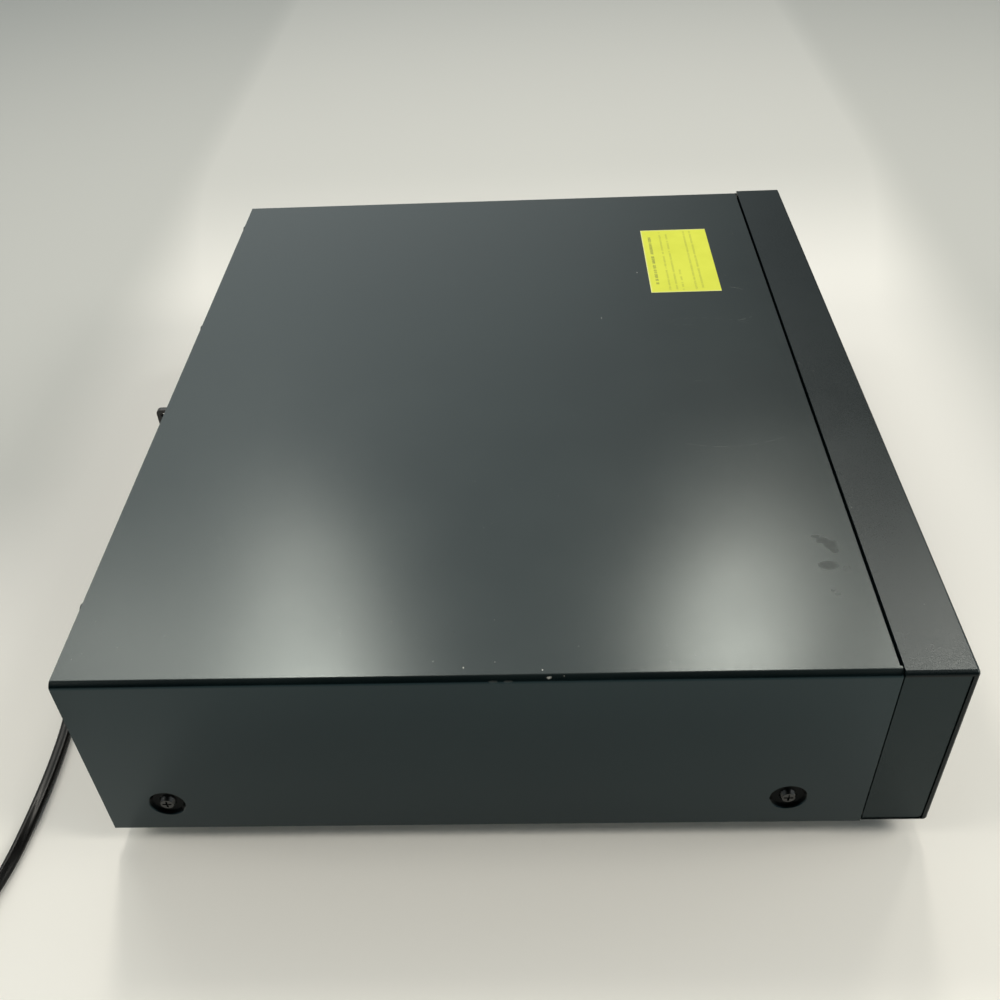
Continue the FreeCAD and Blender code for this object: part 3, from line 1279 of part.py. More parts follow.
def make_cam():
    """The slide whose sloping slots carry the lift's pins up as it moves back."""
    inner, outer = "frame_half + 1.2", "frame_half + 2.8"
    low, high = f"({LOADER_TOP} + 1)", f"({PIN_Z} + lift_travel + 4)"
    start, end = f"({PLAY_Y} - 18 - cam_travel)", f"({PLAY_Y} + 62)"
    pieces = [block("cam_cross", (f"-({outer})", outer),
                    (f"{start} + cam_travel", f"{start} + cam_travel + 8"),
                    (low, f"{low} + 1.5"))]
    cutters = []
    slot = "(pin_radius + 0.5)"
    for side in (-1, 1):
        x = mirrored(side, inner, outer)
        pieces.append(block(f"cam_side_{side + 1}", x, (start, end), (low, high)))
        for place, y in enumerate(LIFT_PINS):
            ramp = body(f"cam_slot_{place}_{side + 1}")
            lean = "(lift_travel / cam_travel)"
            ahead, behind = f"{y} + {slot} + 1", f"{y} - cam_travel - {slot} - 1"
            more = f"(({slot} + 1) * {lean})"
            section = [(ahead, f"{PIN_Z} - {more} - {slot} * 1.15"),
                       (ahead, f"{PIN_Z} - {more} + {slot} * 1.15"),
                       (behind, f"{PIN_Z} + lift_travel + {more} + {slot} * 1.15"),
                       (behind, f"{PIN_Z} + lift_travel + {more} - {slot} * 1.15")]
            feature(ramp, "Pad", outline(ramp, "YZ_Plane", section, f"{x[0]} - 1"),
                    f"({x[1]}) - ({x[0]}) + 2")
            cutters.append(ramp)
    node(cut("cam_slide", fused("cam_blank", pieces), cutters))


# The mains cord
# The route's points, from the bushing to the coil: chosen by hand, in the part's frame.
ROUTE = [
    (-62.0, 196.9, 26.0),
    (-62.0, 213.2, 26.0),
    (-69.5, 226.5, 19.8),
    (-83.0, 232.5, 12.4),
    (-100.0, 233.5, 6.4),
    (-121.5, 229.8, 3.4),
    (-147.0, 224.4, 3.0),
    (-175.0, 222.9, 3.0),
    (-204.0, 223.1, 3.0),
    (-232.0, 224.6, 3.0),
    (-259.0, 231.0, 3.0),
    (-284.0, 247.0, 3.0),
]
COIL_PITCH = 6.5
COIL_INNER = 22.0
COIL_LAYER_TURNS = 3.05
COIL_LAYER_RISE = 6.5
COIL_LEAVE_TURNS = 0.36
COIL_LEAVE_GROWTH = 9.5
COIL_STEPS = 4
TAIL_RISE = 3.0
TAIL_LENGTH = 20.0


def bent(points, share=0.45):
    """Straight runs joined by the largest tangent arcs that the runs allow."""
    edges, radii, here = [], [], points[0]
    for before, corner, after in zip(points, points[1:], points[2:]):
        first, second = corner - before, after - corner
        length = share * min(first.Length, second.Length)
        turn = first.getAngle(second)
        radii.append(length / math.tan(turn / 2))
        inward, outward = Vector(first).normalize(), Vector(second).normalize()
        start, end = corner - inward * length, corner + outward * length
        middle = (end - start) * 0.5 + start
        bulge = (corner - middle).normalize()
        sagitta = radii[-1] * (1 - math.cos(turn / 2))
        edges.append(Part.makeLine(here, start))
        edges.append(Part.Arc(start, middle + bulge * sagitta, end).toShape())
        here = end
    edges.append(Part.makeLine(here, points[-1]))
    return Part.Wire(edges), radii


def swept(wire, radius):
    """A round tube along the wire."""
    start = wire.OrderedEdges[0]
    point = start.valueAt(start.FirstParameter)
    away = start.tangentAt(start.FirstParameter)
    shell = Part.BRepOffsetAPI.MakePipeShell(wire)
    shell.add(Part.Wire(Part.makeCircle(radius, point, away)), False, False)
    shell.build()
    shell.makeSolid()
    return shell.shape()


def biarc(start, leaving, end, arriving):
    """Two arcs that join at one tangent and meet both ends at theirs."""
    reach, both = end - start, leaving + arriving
    spare = 2 * (1 - leaving.dot(arriving))
    along_both = reach.dot(both)
    size = (math.sqrt(along_both ** 2 + spare * reach.dot(reach)) - along_both) / spare
    joint = (start + leaving * size + end - arriving * size) * 0.5
    pairs = ((start, leaving, joint), (end, arriving * -1, joint))
    arcs = []
    for point, tangent, far in pairs:
        chord = far - point
        normal = (chord - tangent * chord.dot(tangent)).normalize()
        radius = chord.dot(chord) / (2 * chord.dot(normal))
        half = math.asin(min(1, chord.Length / (2 * radius)))
        middle = point + tangent * (radius * math.sin(half)) + normal * (
            radius * (1 - math.cos(half)))
        arcs.append((point, middle, far))
    (a, b, c), (f, e, d) = arcs
    return [Part.Arc(a, b, c).toShape(), Part.Arc(d, e, f).toShape()]


def smooth(share):
    share = min(1, max(0, share))
    return share * share * (3 - 2 * share)


def coil_start():
    """The coil's first point, the way the cord goes there, and the coil's centre."""
    ahead = (Vector(*ROUTE[-1]) - Vector(*ROUTE[-2])).normalize()
    start = Vector(*ROUTE[-1]) + ahead * number("cord_width")
    outer = COIL_INNER + COIL_PITCH * COIL_LAYER_TURNS
    return start, ahead, start + Vector(ahead.y, -ahead.x, 0) * outer


def coil_place(turn):
    """A point of the coil: in on the lower layer, out on the upper one, then down."""
    start, ahead, centre = coil_start()
    total = 2 * COIL_LAYER_TURNS
    away = min(abs(turn - COIL_LAYER_TURNS), COIL_LAYER_TURNS)
    past = max(0, turn - total) / COIL_LEAVE_TURNS
    radius = COIL_INNER + COIL_PITCH * away + COIL_LEAVE_GROWTH * past
    rise = COIL_LAYER_RISE * smooth((turn - COIL_LAYER_TURNS) * 2 + 0.5)
    rise -= (COIL_LAYER_RISE - TAIL_RISE) * smooth(past * 1.5 - 0.5)
    angle = math.atan2(start.y - centre.y, start.x - centre.x) - 2 * math.pi * turn
    return centre + Vector(radius * math.cos(angle), radius * math.sin(angle), rise)


def coil_wire():
    """The coil as tangent arcs of about a quarter turn, with a straight end each side."""
    start, ahead, centre = coil_start()
    total = 2 * COIL_LAYER_TURNS + COIL_LEAVE_TURNS
    count = round(total * COIL_STEPS)
    places, tangents = [], []
    for step in range(count + 1):
        turn = total * step / count
        places.append(coil_place(turn))
        tangents.append((coil_place(turn + 0.001) - coil_place(turn - 0.001)).normalize())
    tangents[0] = ahead
    tangents[-1] = Vector(tangents[-1].x, tangents[-1].y, 0).normalize()
    edges = [Part.makeLine(Vector(*ROUTE[-1]), places[0])]
    for here in range(count):
        edges += biarc(places[here], tangents[here], places[here + 1], tangents[here + 1])
    tail = places[-1] + tangents[-1] * TAIL_LENGTH
    edges.append(Part.makeLine(places[-1], tail))
    return Part.Wire(edges), tail, tangents[-1]


def least_self_gap(wire, width):
    """The least space between two stretches of the tube that are not neighbours."""
    count = int(wire.Length / 1.5)
    points = wire.discretize(count)
    apart = int(3 * width / 1.5)
    least = 1e9
    for here in range(count):
        for there in range(here + apart, count):
            least = min(least, points[here].distanceToPoint(points[there]))
    return least - width


def make_cord():
    width = number("cord_width")
    wire, radii = bent([Vector(*point) for point in ROUTE])
    print("cord radii", [round(each, 1) for each in radii], "length", round(wire.Length, 1))
    node(given("cord_run", swept(wire, width / 2)))
    coil, tail, heading = coil_wire()
    arcs = [edge.Curve.Radius for edge in coil.Edges if hasattr(edge.Curve, "Radius")]
    print("coil length", round(coil.Length, 1), "least radius", round(min(arcs), 2))
    print("least gap of the coil to itself", round(least_self_gap(coil, width), 3))
    node(given("cord_coil", swept(coil, width / 2)))
    for name in ("cord_run", "cord_coil"):
        tube = doc.getObjectsByLabel(name)[0].Shape
        length = wire.Length if name == "cord_run" else coil.Length
        share = tube.Volume / (math.pi * width ** 2 / 4 * length)
        print(name, "volume over section times length", round(share, 5))
    make_plug(tail, heading)


def make_plug(tail, heading):
    """A moulded two-blade plug lying on the floor at the cord's end."""
    width = number("cord_width")
    turn = math.degrees(math.atan2(heading.y, heading.x))
    neck = Part.makeCone(width / 2 + 0.6, 5, 14, Vector(0, 0, 0), Vector(1, 0, 0))
    grip = Part.makeBox(20, 22, 12, Vector(14, -11, -6))
    upright = [edge for edge in grip.Edges if edge.BoundBox.XLength > 10]
    grip = grip.makeFillet(3, upright)
    pieces = [grip]
    for side in (-1, 1):
        pieces.append(Part.makeBox(17, 1.5, 6.3, Vector(33.5, side * 6.35 - 0.75, -3.15)))
    shape = neck.fuse(pieces).removeSplitter()
    plug = given("power_plug", shape)
    plug.Placement = FreeCAD.Placement(tail, FreeCAD.Rotation(Vector(0, 0, 1), turn))
    node(plug)


make_chassis()
make_rear_panel()
make_cover()
make_screws()
make_feet()
make_bezel()
make_end_caps()
make_window()
make_front_board()
make_keys()
make_back_fittings()
make_label()
make_electronics()
make_loading_drive()
make_loader()
make_tray()
make_carousel()
make_lift()
make_cord()
doc.recompute()

faults = [piece.Label for piece in doc.Objects
          if "Invalid" in piece.State or "Error" in piece.State]
for piece in parts:
    if piece.Shape.isNull() or not piece.Shape.isValid() or not piece.Shape.Solids:
        faults.append(piece.Label)
if faults:
    raise RuntimeError("these objects failed: " + ", ".join(faults))

os.makedirs("parts", exist_ok=True)
for piece in parts:
    piece.Shape.exportStep(f"parts/{piece.Label}.step")
print(len(parts), "parts written")
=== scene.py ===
"""A full-width compact disc changer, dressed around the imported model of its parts.

Lengths are in metres: X to the unit's right seen from its front, the front faces -Y, Z is up.
"""
import json
import math

import bpy
from mathutils import Matrix, Vector


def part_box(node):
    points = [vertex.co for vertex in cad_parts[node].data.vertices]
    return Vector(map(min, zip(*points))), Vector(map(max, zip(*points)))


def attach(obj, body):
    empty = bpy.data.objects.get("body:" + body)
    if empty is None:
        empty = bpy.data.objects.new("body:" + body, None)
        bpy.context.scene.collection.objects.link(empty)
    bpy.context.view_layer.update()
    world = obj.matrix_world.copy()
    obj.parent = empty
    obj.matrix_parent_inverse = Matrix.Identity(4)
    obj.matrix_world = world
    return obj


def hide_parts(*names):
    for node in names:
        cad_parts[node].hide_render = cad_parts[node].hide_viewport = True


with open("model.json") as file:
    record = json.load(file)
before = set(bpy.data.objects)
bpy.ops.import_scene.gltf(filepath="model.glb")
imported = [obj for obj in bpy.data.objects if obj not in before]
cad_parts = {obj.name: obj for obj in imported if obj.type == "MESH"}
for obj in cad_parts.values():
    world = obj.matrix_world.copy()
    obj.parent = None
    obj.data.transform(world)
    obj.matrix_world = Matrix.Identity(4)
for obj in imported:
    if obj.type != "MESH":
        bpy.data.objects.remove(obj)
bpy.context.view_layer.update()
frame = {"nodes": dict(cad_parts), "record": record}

nodes = frame["nodes"]
MM = 0.001

# The unit's planes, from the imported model
BEZEL_LOW, BEZEL_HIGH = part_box("front_bezel")
COVER_LOW, COVER_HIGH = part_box("top_cover")
FACE_Y = BEZEL_LOW.y
SEAM_Y = BEZEL_HIGH.y
LID_Z = COVER_HIGH.z


# Camera
def set_camera():
    """The camera where the photograph was taken from, with its lens."""
    camera = bpy.data.cameras.new("camera")
    camera.lens = 38.72
    camera.sensor_width = 36.0
    camera.clip_end = 50.0
    stand = bpy.data.objects.new("camera", camera)
    bpy.context.scene.collection.objects.link(stand)
    right = Vector((0.01536049, -0.9990425, -0.04096513))
    up = Vector((0.64848749, -0.02123081, 0.76092918))
    back = Vector((-0.76107032, -0.03825362, 0.64754045))
    turn = Matrix((right, up, back)).transposed().to_4x4()
    stand.matrix_world = Matrix.Translation((-0.49256, -0.02092, 0.43765)) @ turn
    bpy.context.scene.camera = stand


set_camera()


# Modelling helpers
def let_go():
    """Object mode, nothing selected."""
    if bpy.context.object and bpy.context.object.mode != "OBJECT":
        bpy.ops.object.mode_set(mode="OBJECT")
    bpy.ops.object.select_all(action="DESELECT")


def take(piece):
    let_go()
    piece.select_set(True)
    bpy.context.view_layer.objects.active = piece


def current(name):
    """The object just added, named."""
    piece = bpy.context.object
    piece.name = name
    piece.data.name = name
    return piece


def settled(piece):
    """Put the piece's place, turn and scale into its mesh."""
    take(piece)
    bpy.ops.object.transform_apply(location=True, rotation=True, scale=True)
    return piece


def editing(piece, kind="FACE"):
    take(piece)
    bpy.ops.object.mode_set(mode="EDIT")
    bpy.ops.mesh.select_mode(type=kind)
    bpy.ops.mesh.select_all(action="SELECT")


def chosen(piece, kind, test):
    """In edit mode, select the faces, edges or vertices whose middle passes the test."""
    take(piece)
    for group in (piece.data.vertices, piece.data.edges, piece.data.polygons):
        for item in group:
            item.select = False
    points = piece.data.vertices
    if kind == "FACE":
        for face in piece.data.polygons:
            face.select = test(face.center, face.normal)
    elif kind == "EDGE":
        for edge in piece.data.edges:
            first, second = (points[index].co for index in edge.vertices)
            edge.select = test((first + second) / 2, (second - first).normalized())
    else:
        for point in points:
            point.select = test(point.co, point.normal)
    bpy.ops.object.mode_set(mode="EDIT")
    bpy.ops.mesh.select_mode(type=kind)


def mended(piece):
    """Doubles merged and faces turned outwards."""
    editing(piece)
    bpy.ops.mesh.remove_doubles(threshold=0.002 * MM)
    bpy.ops.mesh.normals_make_consistent(inside=False)
    let_go()


def smoothed(piece, angle=35):
    take(piece)
    bpy.ops.object.shade_smooth_by_angle(angle=math.radians(angle))


def applied(piece, kind, **settings):
    """A modifier with these settings, applied at once."""
    take(piece)
    modifier = piece.modifiers.new(kind.lower(), kind)
    for key, value in settings.items():
        setattr(modifier, key, value)
    bpy.ops.object.modifier_apply(modifier=modifier.name)


def edged(piece, width, segments=2, angle=28):
    """Break every sharp edge by a small round."""
    applied(piece, "BEVEL", limit_method="ANGLE", angle_limit=math.radians(angle),
            width=width, segments=segments, profile=0.6, use_clamp_overlap=True)
    smoothed(piece, 50)
    applied(piece, "WEIGHTED_NORMAL", keep_sharp=True, weight=80)


def together(name, pieces):
    """Several meshes made one piece."""
    let_go()
    for piece in pieces:
        piece.select_set(True)
    bpy.context.view_layer.objects.active = pieces[0]
    if len(pieces) > 1:
        bpy.ops.object.join()
    return settled(current(name))


def eased_copy(node, name, width, segments=2):
    """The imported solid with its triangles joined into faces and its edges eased."""
    piece = nodes[node].copy()
    piece.data = nodes[node].data.copy()
    piece.parent = None
    piece.matrix_world = Matrix.Identity(4)
    bpy.context.scene.collection.objects.link(piece)
    piece.name = name
    piece.data.name = name
    editing(piece)
    bpy.ops.mesh.remove_doubles(threshold=0.002 * MM)
    bpy.ops.mesh.customdata_custom_splitnormals_clear()
    bpy.ops.mesh.dissolve_limited(angle_limit=math.radians(0.6))
    let_go()
    edged(piece, width, segments)
    return piece


def dressed(piece, body, slot, finish, *replaced):
    """The piece rides on its body, has its finish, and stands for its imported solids."""
    piece.data.materials.clear()
    piece.data.materials.append(finish)
    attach(piece, body)
    if replaced:
        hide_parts(*replaced)
    return piece


# Shader groups
def new_group(name, inputs, outputs):
    """An empty shader group with float inputs and named outputs."""
    tree = bpy.data.node_groups.new(name, "ShaderNodeTree")
    for label, value in inputs:
        socket = tree.interface.new_socket(name=label, in_out="INPUT",
                                           socket_type="NodeSocketFloat")
        socket.default_value = value
    for label in outputs:
        tree.interface.new_socket(name=label, in_out="OUTPUT", socket_type="NodeSocketFloat")
    return tree, tree.nodes.new("NodeGroupInput"), tree.nodes.new("NodeGroupOutput")


def placed(tree, kind, links=None, **settings):
    """A node with its settings, and sockets linked or given a value."""
    made = tree.nodes.new(kind)
    for key, value in settings.items():
        setattr(made, key, value)
    for socket, value in (links or {}).items():
        if isinstance(value, bpy.types.NodeSocket):
            tree.links.new(value, made.inputs[socket])
        else:
            made.inputs[socket].default_value = value
    return made


def sums(tree, operation, first, second=None, clamp=False):
    """One step of arithmetic on sockets or numbers."""
    links = {0: first}
    if second is not None:
        links[1] = second
    return placed(tree, "ShaderNodeMath", links, operation=operation,
                  use_clamp=clamp).outputs[0]


def ramp(tree, value, low, high, first=0.0, last=1.0):
    """The value moved from one span to another, held at its ends."""
    links = {"Value": value, "From Min": low, "From Max": high, "To Min": first, "To Max": last}
    return placed(tree, "ShaderNodeMapRange", links,
                  interpolation_type="SMOOTHSTEP").outputs["Result"]


def where(tree):
    """The point on the piece, in its own metres."""
    return placed(tree, "ShaderNodeTexCoord").outputs["Object"]


def noise(tree, scale, detail=2.0, rough=0.5, at=None):
    return placed(tree, "ShaderNodeTexNoise", {
        "Vector": at or where(tree), "Scale": scale, "Detail": detail,
        "Roughness": rough}).outputs["Fac"]


def grain_group():
    """Fine moulded or sprayed grain, with slow unevenness over the whole surface."""
    tree, given, out = new_group("grain", [("Scale", 1500.0), ("Cloud Scale", 12.0)],
                                 ["Grain", "Cloud"])
    fine = noise(tree, given.outputs["Scale"], 3.0, 0.6)
    slow = noise(tree, given.outputs["Cloud Scale"], 4.0, 0.55)
    tree.links.new(ramp(tree, fine, 0.25, 0.75), out.inputs["Grain"])
    tree.links.new(ramp(tree, slow, 0.3, 0.7), out.inputs["Cloud"])
    return tree


def dust_group():
    """Sparse specks of dust: few spots of a fine pattern of cells, patchy over the surface."""
    tree, given, out = new_group("dust", [("Scale", 260.0), ("Size", 0.12), ("Amount", 0.25)],
                                 ["Specks"])
    cells = placed(tree, "ShaderNodeTexVoronoi", {
        "Vector": where(tree), "Scale": given.outputs["Scale"], "Randomness": 1.0})
    spot = ramp(tree, cells.outputs["Distance"], given.outputs["Size"], 0.0)
    parted = placed(tree, "ShaderNodeSeparateColor", {"Color": cells.outputs["Color"]})
    few = sums(tree, "LESS_THAN", parted.outputs["Red"], given.outputs["Amount"])
    patches = ramp(tree, noise(tree, 22.0, 3.0), 0.42, 0.7)
    tree.links.new(sums(tree, "MULTIPLY", sums(tree, "MULTIPLY", spot, few), patches),
                   out.inputs["Specks"])
    return tree


def brush_group():
    """Long fine lines left by rolling or brushing along X."""
    tree, given, out = new_group("brush", [("Scale", 900.0), ("Length", 0.02)], ["Lines"])
    stretch = placed(tree, "ShaderNodeCombineXYZ", {
        "X": given.outputs["Length"], "Y": 1.0, "Z": 1.0})
    pulled = placed(tree, "ShaderNodeVectorMath", {0: where(tree), 1: stretch.outputs[0]},
                    operation="MULTIPLY")
    lines = noise(tree, given.outputs["Scale"], 4.0, 0.7, pulled.outputs[0])
    tree.links.new(ramp(tree, lines, 0.3, 0.7), out.inputs["Lines"])
    return tree


GRAIN, DUST, BRUSH = grain_group(), dust_group(), brush_group()


def effect(tree, group, **values):
    """One of the shader groups, placed with its own values."""
    made = placed(tree, "ShaderNodeGroup", node_tree=group)
    for key, value in values.items():
        made.inputs[key.replace("_", " ")].default_value = value
    return made


def blend(tree, share, first, second):
    """A colour between two, by a mask."""
    made = placed(tree, "ShaderNodeMix", data_type="RGBA")
    for socket, value in ((0, share), (6, first), (7, second)):
        if isinstance(value, bpy.types.NodeSocket):
            tree.links.new(value, made.inputs[socket])
        else:
            made.inputs[socket].default_value = value if socket == 0 else (*value, 1.0)
    return made.outputs[2]


def raised(tree, height, depth):
    return placed(tree, "ShaderNodeBump", {"Height": height, "Distance": depth,
                                           "Strength": 1.0}).outputs["Normal"]


def finish(name, colour, rough, **settings):
    """A new material: its tree and its surface shader, with plain values to begin with."""
    material = bpy.data.materials.new(name)
    material.use_nodes = True
    tree = material.node_tree
    shader = tree.nodes["Principled BSDF"]
    if not isinstance(colour, bpy.types.NodeSocket):
        shader.inputs["Base Color"].default_value = (*colour, 1.0)
    shader.inputs["Roughness"].default_value = rough
    for key, value in settings.items():
        shader.inputs[key.replace("_", " ")].default_value = value
    return material, tree, shader


def moulded(name, dark, light, rough, grain=1500.0, depth=0.02, cloud=12.0, dust=0.1,
            **settings):
    """Plastic or paint with fine grain, slow unevenness and a little dust."""
    material, tree, shader = finish(name, dark, rough, **settings)
    texture = effect(tree, GRAIN, Scale=grain, Cloud_Scale=cloud)
    specks = effect(tree, DUST, Amount=dust)
    mix = blend(tree, texture.outputs["Cloud"], dark, light)
    dusty = blend(tree, sums(tree, "MULTIPLY", specks.outputs["Specks"], 0.55), mix,
                  (0.45, 0.44, 0.4))
    tree.links.new(dusty, shader.inputs["Base Color"])
    uneven = sums(tree, "MULTIPLY", texture.outputs["Grain"], 0.06)
    slow = sums(tree, "MULTIPLY", texture.outputs["Cloud"], 0.05)
    tree.links.new(sums(tree, "ADD", sums(tree, "ADD", uneven, slow), rough - 0.055),
                   shader.inputs["Roughness"])
    tree.links.new(raised(tree, texture.outputs["Grain"], depth * MM), shader.inputs["Normal"])
    return material


def metal(name, colour, rough, scale=900.0, length=0.02, depth=0.006):
    """Bare or plated metal with rolled lines and faint stains."""
    material, tree, shader = finish(name, colour, rough, Metallic=1.0)
    lines = effect(tree, BRUSH, Scale=scale, Length=length).outputs["Lines"]
    stain = ramp(tree, noise(tree, 35.0, 5.0), 0.45, 0.75)
    dull = tuple(0.72 * part for part in colour)
    mix = blend(tree, sums(tree, "MULTIPLY", stain, 0.6), colour, dull)
    tree.links.new(mix, shader.inputs["Base Color"])
    tree.links.new(sums(tree, "ADD", sums(tree, "MULTIPLY", lines, 0.14), rough - 0.07),
                   shader.inputs["Roughness"])
    tree.links.new(raised(tree, lines, depth * MM), shader.inputs["Normal"])
    return material


# Marks on the cover, by their place on its top
def blot(tree, centre, size, ragged=0.0):
    """A soft spot about a point, as wide along each axis as its size, its edge broken up."""
    off = placed(tree, "ShaderNodeVectorMath", {0: where(tree), 1: centre},
                 operation="SUBTRACT").outputs[0]
    drawn = placed(tree, "ShaderNodeVectorMath", {0: off, 1: size},
                   operation="DIVIDE").outputs[0]
    far = placed(tree, "ShaderNodeVectorMath", {0: drawn}, operation="LENGTH").outputs["Value"]
    if ragged:
        broken = sums(tree, "SUBTRACT", noise(tree, 900.0, 3.0), 0.5)
        far = sums(tree, "ADD", far, sums(tree, "MULTIPLY", broken, ragged))
    return ramp(tree, far, 1.2, 0.75)


def arc_mask(tree, parts, centre, radius, span, width):
    """A hair-thin curved scratch: part of a ring, kept between two places across."""
    across = sums(tree, "SUBTRACT", parts.outputs["X"], centre[0])
    along = sums(tree, "SUBTRACT", parts.outputs["Y"], centre[1])
    far = sums(tree, "SQRT", sums(tree, "ADD", sums(tree, "MULTIPLY", across, across),
                                  sums(tree, "MULTIPLY", along, along)))
    off = sums(tree, "ABSOLUTE", sums(tree, "SUBTRACT", far, radius))
    line = ramp(tree, off, width, width * 0.3)
    low = ramp(tree, parts.outputs["Y"], span[0], span[0] + 0.004)
    high = ramp(tree, parts.outputs["Y"], span[1], span[1] - 0.004)
    broken = ramp(tree, noise(tree, 300.0, 2.0), 0.38, 0.55)
    return sums(tree, "MULTIPLY", sums(tree, "MULTIPLY", line, broken),
                sums(tree, "MULTIPLY", low, high))


# Greasy marks on the lid: place, half size, strength.
SMUDGES = [
    ((-0.1374, -0.1423), (0.0010, 0.0020), 0.8), ((-0.1402, -0.1448), (0.0018, 0.0030), 1.0),
    ((-0.1431, -0.1476), (0.0028, 0.0028), 1.0), ((-0.1466, -0.1486), (0.0018, 0.0017), 1.0),
    ((-0.1559, -0.1440), (0.0025, 0.0042), 1.0), ((-0.1578, -0.1514), (0.0013, 0.0016), 0.35),
    ((-0.1709, -0.1427), (0.0006, 0.0011), 0.45), ((-0.1733, -0.1442), (0.0007, 0.0011), 0.5),
]
# Scratches on the lid: middle of their arc, its radius, the span across, half width, strength.
SCRATCHES = [
    ((-0.0101, -0.1134), 0.0610, (-0.1450, -0.0910), 0.00016, 0.10),
    ((0.0153, -0.1021), 0.0289, (-0.1130, -0.0970), 0.00012, 0.10),
    ((0.0663, -0.1332), 0.0193, (-0.1462, -0.1350), 0.00015, 0.28),
]
# Chips, specks and rubbed spots in the paint: place, half size, strength.
CHIPS = [
    ((-0.2153, -0.0224, 0.1094), (0.0006, 0.0014, 0.0006), 0.5),
    ((-0.2166, -0.0004, 0.1088), (0.0005, 0.0018, 0.0008), 0.05),
    ((-0.2166, -0.0063, 0.1088), (0.0005, 0.0018, 0.0008), 0.05),
    ((-0.1772, -0.1603, 0.1104), (0.0007, 0.0004, 0.0010), 0.75),
    ((-0.2104, 0.0114, 0.1104), (0.0004, 0.0003, 0.0010), 0.7),
    ((-0.2122, -0.0200, 0.1104), (0.0004, 0.0003, 0.0010), 0.7),
    ((-0.2069, 0.0238, 0.1104), (0.0003, 0.0003, 0.0010), 0.2),
    ((-0.2077, -0.0011, 0.1104), (0.0003, 0.0003, 0.0010), 0.2),
    ((0.1064, -0.0831, 0.1104), (0.0007, 0.0004, 0.0010), 0.25),
    ((0.0536, -0.0582, 0.1104), (0.0009, 0.0002, 0.0010), 0.25),
]
# Where the painted shade of the screw recesses begins: just inside the sides' outer faces, and
# below the sides' tops.
RECESS_X = COVER_HIGH.x - 0.15 * MM
SIDE_TOP_Z = LID_Z - 6 * MM


def cover_finish():
    """Satin sprayed steel with fine orange peel, dust, greasy marks, scratches and chips, painted
    shade in the screw recesses and dimmed blue-green reflections painted on its sides.
    """
    material, tree, shader = finish("cover paint", (0.02, 0.024, 0.025), 0.25)
    texture = effect(tree, GRAIN, Scale=1900.0, Cloud_Scale=9.0)
    specks = effect(tree, DUST, Scale=330.0, Size=0.11, Amount=0.07).outputs["Specks"]
    pits = effect(tree, DUST, Scale=120.0, Size=0.05, Amount=0.05).outputs["Specks"]
    parts = placed(tree, "ShaderNodeSeparateXYZ", {"Vector": where(tree)})
    top = ramp(tree, parts.outputs["Z"], LID_Z - 1.2 * MM, LID_Z - 0.8 * MM)
    inwards = sums(tree, "ABSOLUTE", parts.outputs["X"])
    # Painted shade: the screw recesses and the inner faces are blackened and reflect little.
    painted_recess_shade = sums(tree, "MULTIPLY", ramp(tree, inwards, RECESS_X, RECESS_X - 0.4 * MM),
                sums(tree, "LESS_THAN", parts.outputs["Z"], SIDE_TOP_Z))
    smudge = 0.0
    for centre, size, strength in SMUDGES:
        mark = blot(tree, (*centre, LID_Z), (*size, 0.001), 0.9)
        smudge = sums(tree, "MAXIMUM", sums(tree, "MULTIPLY", mark, strength), smudge)
    streaks = ramp(tree, noise(tree, 1500.0, 2.0), 0.35, 0.55, 0.6, 1.0)
    smudge = sums(tree, "MULTIPLY", smudge, streaks)
    scratch = 0.0
    for centre, radius, span, width, strength in SCRATCHES:
        line = arc_mask(tree, parts, centre, radius, span, width)
        scratch = sums(tree, "MAXIMUM", sums(tree, "MULTIPLY", line, strength), scratch)
    scratch = sums(tree, "MULTIPLY", scratch, top)
    chip = 0.0
    for centre, size, strength in CHIPS:
        mark = sums(tree, "MULTIPLY", blot(tree, centre, size, 0.9), strength)
        chip = sums(tree, "MAXIMUM", mark, chip)
    base = blend(tree, texture.outputs["Cloud"], (0.0012, 0.0035, 0.004),
                 (0.003, 0.0065, 0.007))
    dusty = blend(tree, sums(tree, "MULTIPLY", specks, 0.6), base, (0.42, 0.41, 0.37))
    # The fine pits are real; the recesses are painted shade, blackened the same way.
    pits_and_recess_shade = blend(tree, sums(tree, "MAXIMUM", pits, painted_recess_shade), dusty, (0.001, 0.001, 0.001))
    greasy = blend(tree, sums(tree, "MULTIPLY", smudge, 0.7), pits_and_recess_shade, (0.001, 0.002, 0.002))
    worn = blend(tree, scratch, greasy, (0.32, 0.33, 0.31))
    tree.links.new(blend(tree, chip, worn, (0.6, 0.6, 0.56)), shader.inputs["Base Color"])
    # Painted reflection colour: the sides' reflections are dimmed and tinted blue-green, unlike
    # the top's.
    tree.links.new(blend(tree, top, (0.27, 0.49, 0.58), (0.88, 1.0, 1.0)),
                   shader.inputs["Specular Tint"])
    rough = sums(tree, "ADD", sums(tree, "MULTIPLY", texture.outputs["Cloud"], 0.03), 0.225)
    rough = sums(tree, "ADD", rough, sums(tree, "MULTIPLY", texture.outputs["Grain"], 0.02))
    rough = sums(tree, "ADD", rough, sums(tree, "MULTIPLY", smudge, 0.08))
    tree.links.new(rough, shader.inputs["Roughness"])
    gloss = sums(tree, "SUBTRACT", 0.63, sums(tree, "MULTIPLY", smudge, 0.22))
    # Greasy marks reflect less; the recesses reflect almost nothing, as painted shade.
    tree.links.new(sums(tree, "SUBTRACT", gloss, sums(tree, "MULTIPLY", painted_recess_shade, 0.58)),
                   shader.inputs["Specular IOR Level"])
    height = sums(tree, "SUBTRACT", texture.outputs["Grain"], sums(tree, "MULTIPLY", scratch, 8.0))
    tree.links.new(raised(tree, height, 0.006 * MM), shader.inputs["Normal"])
    return material


